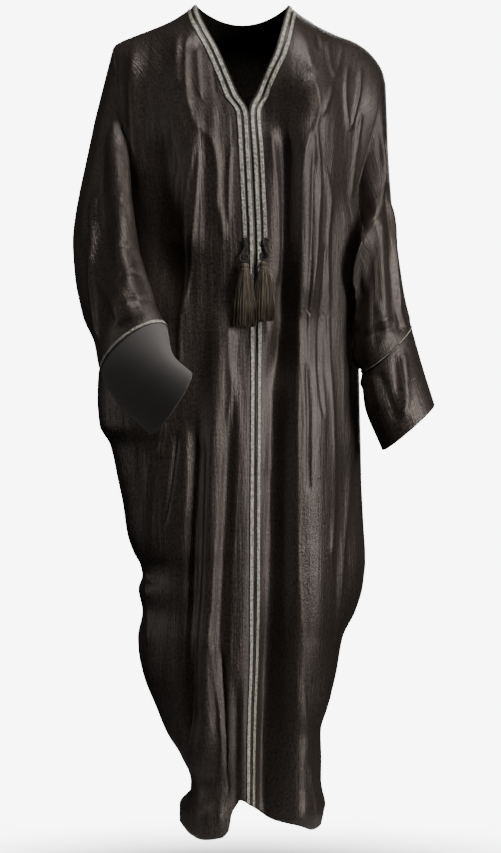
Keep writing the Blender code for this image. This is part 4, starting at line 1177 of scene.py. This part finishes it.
# TIES AND TASSELS
# From the cut end of each outer braid a black two-ply cord comes down in a knot and an open loop. A
# flat silk tassel hangs by it: a bunch of strands, bound near the top with a few turns of thread,
# that fans out below the binding.
TASSELS = {
    # x and height of the top, length down to the ends, in metres, and the side the loop opens to
    "right": (-9 * MM, -469 * MM, 113 * MM, -1),
    "left": (24 * MM, -466 * MM, 106 * MM, 1),
}
TASSEL_HEAD_RADIUS = 7 * MM
TASSEL_CLEAR = 0.5 * MM
TASSEL_OVER_WIDE = 32 * MM
TASSEL_OVER_TALL = 40 * MM
TASSEL_DEEP = 5 * MM
TASSEL_STRANDS = 420
STRAND_RADIUS = 0.5 * MM
STRAND_FORM = (
    # way down from the top, half-width and half-depth of the bunch there, in millimetres
    (0, 2.2, 1.6), (1.6, 5.6, 4.2), (4.6, 7.0, 5.6), (8.4, 6.6, 5.2), (11, 5.8, 4.4),
    (15, 8.2, 4.8), (24, 11.6, 5.2), (42, 15.0, 5.2), (70, 17.4, 5.0), (106, 18.8, 5.0),
)
THREAD_RADIUS = 0.45 * MM
BINDING_DOWN = 11 * MM
BINDING_WIDE = 6.4 * MM
BINDING_DEEP = 5.0 * MM
BINDING_TALL = 2.8 * MM
BINDING_TURNS = 4
STRAND_UNEVEN = 0.10
STRAND_SWAY = 2.2 * MM
STRAND_KINK = 0.35 * MM
CORD_RADIUS = 1.7 * MM
CORD_PLY = 7 * MM
CORD_SIDES = 12
KNOT_REACH = 2.2 * MM
KNOT_CORD = 1.3 * MM
KNOT_TURNS = 3.5
KNOT_TOP = 2.5 * MM
KNOT_TALL = 9 * MM
CORD_STEPS = 90
LOOP_STEPS = 15
TIE_LOOP = 7.5 * MM
TIE_START = 8 * MM
TIE_SHIFT = 1.5 * MM
TIE_FIRST_TURN = math.radians(47.5)
TIE_LAST_TURN = math.radians(322.5)


def smooth_path(points, count):
    """A path of evenly spaced points on a smooth curve through these, by the way along them."""
    points = np.array(points, float)
    way = summed(step_lengths(points))
    return follow(np.column_stack([way, points]), np.linspace(0, way[-1], count))


def tube_rings(path, radius, sides, ply=0.0):
    """Rings round a path. With a ply length, each has two lobes, which turn once in that length."""
    tangent = unit(np.gradient(path, axis=0))
    side = unit(np.cross(tangent, (0, 1, 0.02)))
    front = np.cross(side, tangent)
    angles = np.linspace(0, 2 * math.pi, sides + 1)[None, :-1]
    way = summed(step_lengths(path))[:, None]
    lobes = 1 + (0.16 * np.cos(2 * (angles - 2 * math.pi * way / ply)) if ply else 0 * angles * way)
    round_way = np.stack([np.cos(angles) * lobes, np.sin(angles) * lobes], axis=-1) * radius
    return path[:, None] + side[:, None] * round_way[..., :1] + front[:, None] * round_way[..., 1:]


def tube_mesh(name, bundles, material):
    """One object of many closed tubes. A bundle's tubes all have as many rings and sides.

    Every tube ends in a point at both ends, half a radius past its last ring.
    """
    points, faces, tones = [], [], []
    base = 0
    for rings in bundles:
        tubes, steps, sides = rings.shape[:3]
        ends = rings[:, [0, -1]].mean(axis=2)
        inner = rings[:, [1, -2]].mean(axis=2)
        size = np.linalg.norm(rings[:, [0, -1], 0] - ends, axis=-1, keepdims=True)
        ends = ends + unit(ends - inner) * size / 2
        points.append(np.concatenate([rings.reshape(tubes, -1, 3), ends], axis=1).reshape(-1, 3))
        first = base + (steps * sides + 2) * np.arange(tubes)[:, None, None]
        number = first + np.arange(steps * sides).reshape(1, steps, sides)
        after = np.roll(number, -1, axis=2)
        four = np.stack([number[:, :-1], after[:, :-1], after[:, 1:], number[:, 1:]], axis=-1)
        start = first + steps * sides + 0 * number[:, :1]
        low = np.stack([start, after[:, :1], number[:, :1]], axis=-1)
        high = np.stack([start + 1, number[:, -1:], after[:, -1:]], axis=-1)
        for kind in (four, low, high):
            faces += kind.reshape(-1, kind.shape[-1]).tolist()
        tones.append(np.repeat(np.random.default_rng(5).uniform(0, 1, tubes), steps * sides + 2))
        base += tubes * (steps * sides + 2)
    mesh = smooth_mesh(name, np.concatenate(points), faces, material)
    mesh.attributes.new("tone", "FLOAT", "POINT").data.foreach_set("value", np.concatenate(tones))
    return add_object(name, mesh)


def thread_finish(name, dark, light, rough):
    """Thread: each strand has its own tone between two colours, with fine streaks along it."""
    made, tree, shader = new_material(name)
    tone = add_node(tree, "ShaderNodeAttribute", attribute_name="tone").outputs["Fac"]
    place = add_node(tree, "ShaderNodeTexCoord").outputs["Object"]
    streaks = noise_node(tree, stretched(tree, place, (1, 1, 0.12)), 420, 3)
    share = range_node(tree, math_node(tree, "MULTIPLY", tone, streaks), from_max=0.6)
    set_inputs(tree, shader, [
        ("Base Color", colour_node(tree, share, dark, light)),
        ("Roughness", range_node(tree, streaks, to_min=rough - 0.12, to_max=rough + 0.12)),
        ("Normal", bump_node(tree, streaks, 0.5, 0.0002)),
    ])
    return made


def braid_front(grid, high, low):
    """y of the foremost braid by the front edge, between two heights."""
    near = np.abs(grid[..., 0] - grid[:, :1, 0]) < TASSEL_OVER_WIDE
    band = near & (grid[..., 2] < high) & (grid[..., 2] > low)
    return float(grid[..., 1][band].min()) - BRAID_LIFT - BRAID_THICK


silk = thread_finish("tassel_silk", (0.016, 0.013, 0.008), (0.200, 0.160, 0.105), 0.5)
cord_finish = thread_finish("tie_cord", (0.002, 0.002, 0.002), (0.012, 0.012, 0.012), 0.6)
for side, (x, top, length, toward) in TASSELS.items():
    grid = front_grids[side]
    head_over = braid_front(grid, BRAID_OUTER_END_Z + TASSEL_OVER_TALL, top - TASSEL_OVER_TALL)
    tips_over = braid_front(grid, top, top - length - TASSEL_OVER_TALL)
    head_y = head_over - TASSEL_CLEAR - TASSEL_HEAD_RADIUS
    tip_y = min(head_y, tips_over - TASSEL_CLEAR - TASSEL_DEEP - STRAND_RADIUS)

    start = np.array([x, head_over + CORD_RADIUS - TASSEL_CLEAR, BRAID_OUTER_END_Z - SEAM_GAP])
    turns = np.linspace(TIE_FIRST_TURN, TIE_LAST_TURN, LOOP_STEPS)
    share = np.linspace(0, 1, LOOP_STEPS)
    loop = np.column_stack([
        x + toward * (TIE_SHIFT + TIE_LOOP * np.sin(turns)),
        start[1] - (TASSEL_HEAD_RADIUS - CORD_RADIUS) * np.minimum(1, 2 * share),
        top + CORD_RADIUS + TIE_LOOP + TIE_LOOP * np.cos(turns),
    ])
    path = smooth_path(np.concatenate([[start, start - (0, 0, TIE_START)], loop]), CORD_STEPS)
    coil_turns = np.linspace(0, 2 * math.pi * KNOT_TURNS, CORD_STEPS)
    coil = start + np.column_stack([
        KNOT_REACH * np.cos(coil_turns), KNOT_REACH * np.sin(coil_turns) - 1 * MM,
        -KNOT_TOP - KNOT_TALL * coil_turns / coil_turns[-1],
    ])
    tie_rings = np.stack([
        tube_rings(path, CORD_RADIUS, CORD_SIDES, CORD_PLY),
        tube_rings(coil, KNOT_CORD, CORD_SIDES, CORD_PLY),
    ])
    piece = tube_mesh(f"tie_{side}_cord", [tie_rings], cord_finish)
    stand_in(piece, f"tie_{side}")

    rng = np.random.default_rng(11)
    spin = rng.uniform(0, 2 * math.pi, TASSEL_STRANDS)
    out = np.sqrt(rng.uniform(0.12, 1, TASSEL_STRANDS))
    form = np.array(STRAND_FORM) * MM
    ends = length * (1 - STRAND_UNEVEN * rng.uniform(0, 1, TASSEL_STRANDS) ** 1.5)
    down = form[:, 0] / form[-1, 0]
    down = np.where(form[:, 0] < 20 * MM, form[:, 0], ends[:, None] * down)
    # strands part below the binding, and each has small kinks of its own. The second row of
    # sway isn't used, but the draws after it depend on it.
    sway = rng.normal(0, 1, (2, TASSEL_STRANDS, 1)) * ease((down - 12 * MM) / (90 * MM))
    kink = rng.normal(0, 1, down.shape) * ease((down - 14 * MM) / (20 * MM)) * STRAND_KINK
    strands = np.stack([
        x + (out * np.cos(spin))[:, None] * form[:, 1] + sway[0] * STRAND_SWAY + kink,
        head_y + (tip_y - head_y) * ease(down / length)
        + (out * np.sin(spin))[:, None] * form[:, 2],
        top - down,
    ], axis=-1)
    angles = np.arange(3) * 2 * math.pi / 3
    circle = np.stack([np.cos(angles), -np.sin(angles), 0 * angles], axis=-1) * STRAND_RADIUS
    strand_rings = strands[:, :, None] + circle
    bind_turns = np.linspace(0, 2 * math.pi * BINDING_TURNS, 97)
    binding = np.column_stack([
        x + BINDING_WIDE * np.cos(bind_turns), head_y + BINDING_DEEP * np.sin(bind_turns),
        top - BINDING_DOWN + BINDING_TALL / 2 - BINDING_TALL * bind_turns / bind_turns[-1],
    ])
    binding_rings = tube_rings(binding, THREAD_RADIUS, 6)[None]
    piece = tube_mesh(f"tassel_{side}_silk", [strand_rings, binding_rings], silk)
    stand_in(piece, f"tassel_{side}")


# STAGE
# A plain pale floor that fades into a white studio. A large soft box stands in front, on the
# wearer's left. Weaker ones above, on the other side and behind keep the rest from going black.
WHITE = 8.0
FLOOR_Z = -1.56
FLOOR_SIDES = 64
floor_turns = np.linspace(0, 2 * math.pi, FLOOR_SIDES + 1)[:-1]
floor_reach = np.array([0.4, 0.8, 1.4, 2.2, 3.5, 8.0])
floor_ring = np.stack([np.cos(floor_turns), np.sin(floor_turns)], axis=-1)
floor_points = np.concatenate([[[0, 0]], (floor_reach[:, None, None] * floor_ring).reshape(-1, 2)])
floor_points = np.column_stack([floor_points, np.full(len(floor_points), FLOOR_Z)])
ring_number = 1 + np.arange(len(floor_reach) * FLOOR_SIDES).reshape(-1, FLOOR_SIDES)
ring_next = np.roll(ring_number, -1, axis=1)
floor_faces = np.stack([ring_number[:-1], ring_number[1:], ring_next[1:], ring_next[:-1]], axis=-1)
middle_faces = np.stack([np.zeros(FLOOR_SIDES, int), ring_number[0], ring_next[0]], axis=-1)
floor_mesh = bpy.data.meshes.new("floor")
floor_mesh.from_pydata(floor_points.tolist(), [],
                       floor_faces.reshape(-1, 4).tolist() + middle_faces.tolist())
floor = add_object("floor", floor_mesh)
paper, tree, shader = new_material("white_paper")
set_inputs(tree, shader, [("Base Color", (0.6, 0.6, 0.6, 1)), ("Roughness", 0.9)])
place = add_node(tree, "ShaderNodeTexCoord").outputs["Object"]
reach = add_node(tree, "ShaderNodeVectorMath", [(0, stretched(tree, place, (1, 1, 0)))],
                 operation="LENGTH")
fade = add_node(tree, "ShaderNodeMapRange", [
    ("Value", reach.outputs["Value"]), ("From Min", 0.1), ("From Max", 0.9)],
    interpolation_type="SMOOTHSTEP")
seen = add_node(tree, "ShaderNodeLightPath").outputs["Is Camera Ray"]
bright = math_node(tree, "MULTIPLY", seen, WHITE)
glow = add_node(tree, "ShaderNodeEmission", [("Strength", bright)])
blend = add_node(tree, "ShaderNodeMixShader", [
    (0, fade.outputs[0]), (1, shader.outputs[0]), (2, glow.outputs[0])])
set_inputs(tree, tree.nodes["Material Output"], [("Surface", blend.outputs[0])])
floor_mesh.materials.append(paper)

for name, place, aim, width, tall, power, spread in (
    ("key_softbox", (3.5, -2.95, 0.3), (0, 0, -0.7), 1.4, 2.8, 225, 180),
    ("top_softbox", (0.2, -1.2, 3.0), (0, 0, 0.0), 2.4, 1.2, 16, 60),
    ("side_softbox", (-3.8, -0.3, -0.6), (0, 0, -0.8), 1.0, 1.2, 15, 180),
    ("back_softbox", (0.6, 4.2, 0.4), (0, 0, -0.7), 1.6, 2.6, 70, 180),
):
    light_data = bpy.data.lights.new(name, "AREA")
    light_data.shape = "RECTANGLE"
    light_data.size = width
    light_data.size_y = tall
    light_data.energy = power
    light_data.spread = math.radians(spread)
    light = add_object(name, light_data)
    light.location = place
    light.rotation_euler = (Vector(aim) - Vector(place)).to_track_quat("-Z", "Y").to_euler()

world = bpy.data.worlds.new("studio")
world.use_nodes = True
tree = world.node_tree
seen = add_node(tree, "ShaderNodeLightPath").outputs["Is Camera Ray"]
strength = range_node(tree, seen, to_min=0.028, to_max=WHITE)
set_inputs(tree, tree.nodes["Background"], [(0, (1, 1, 1, 1)), (1, strength)])
bpy.context.scene.world = world
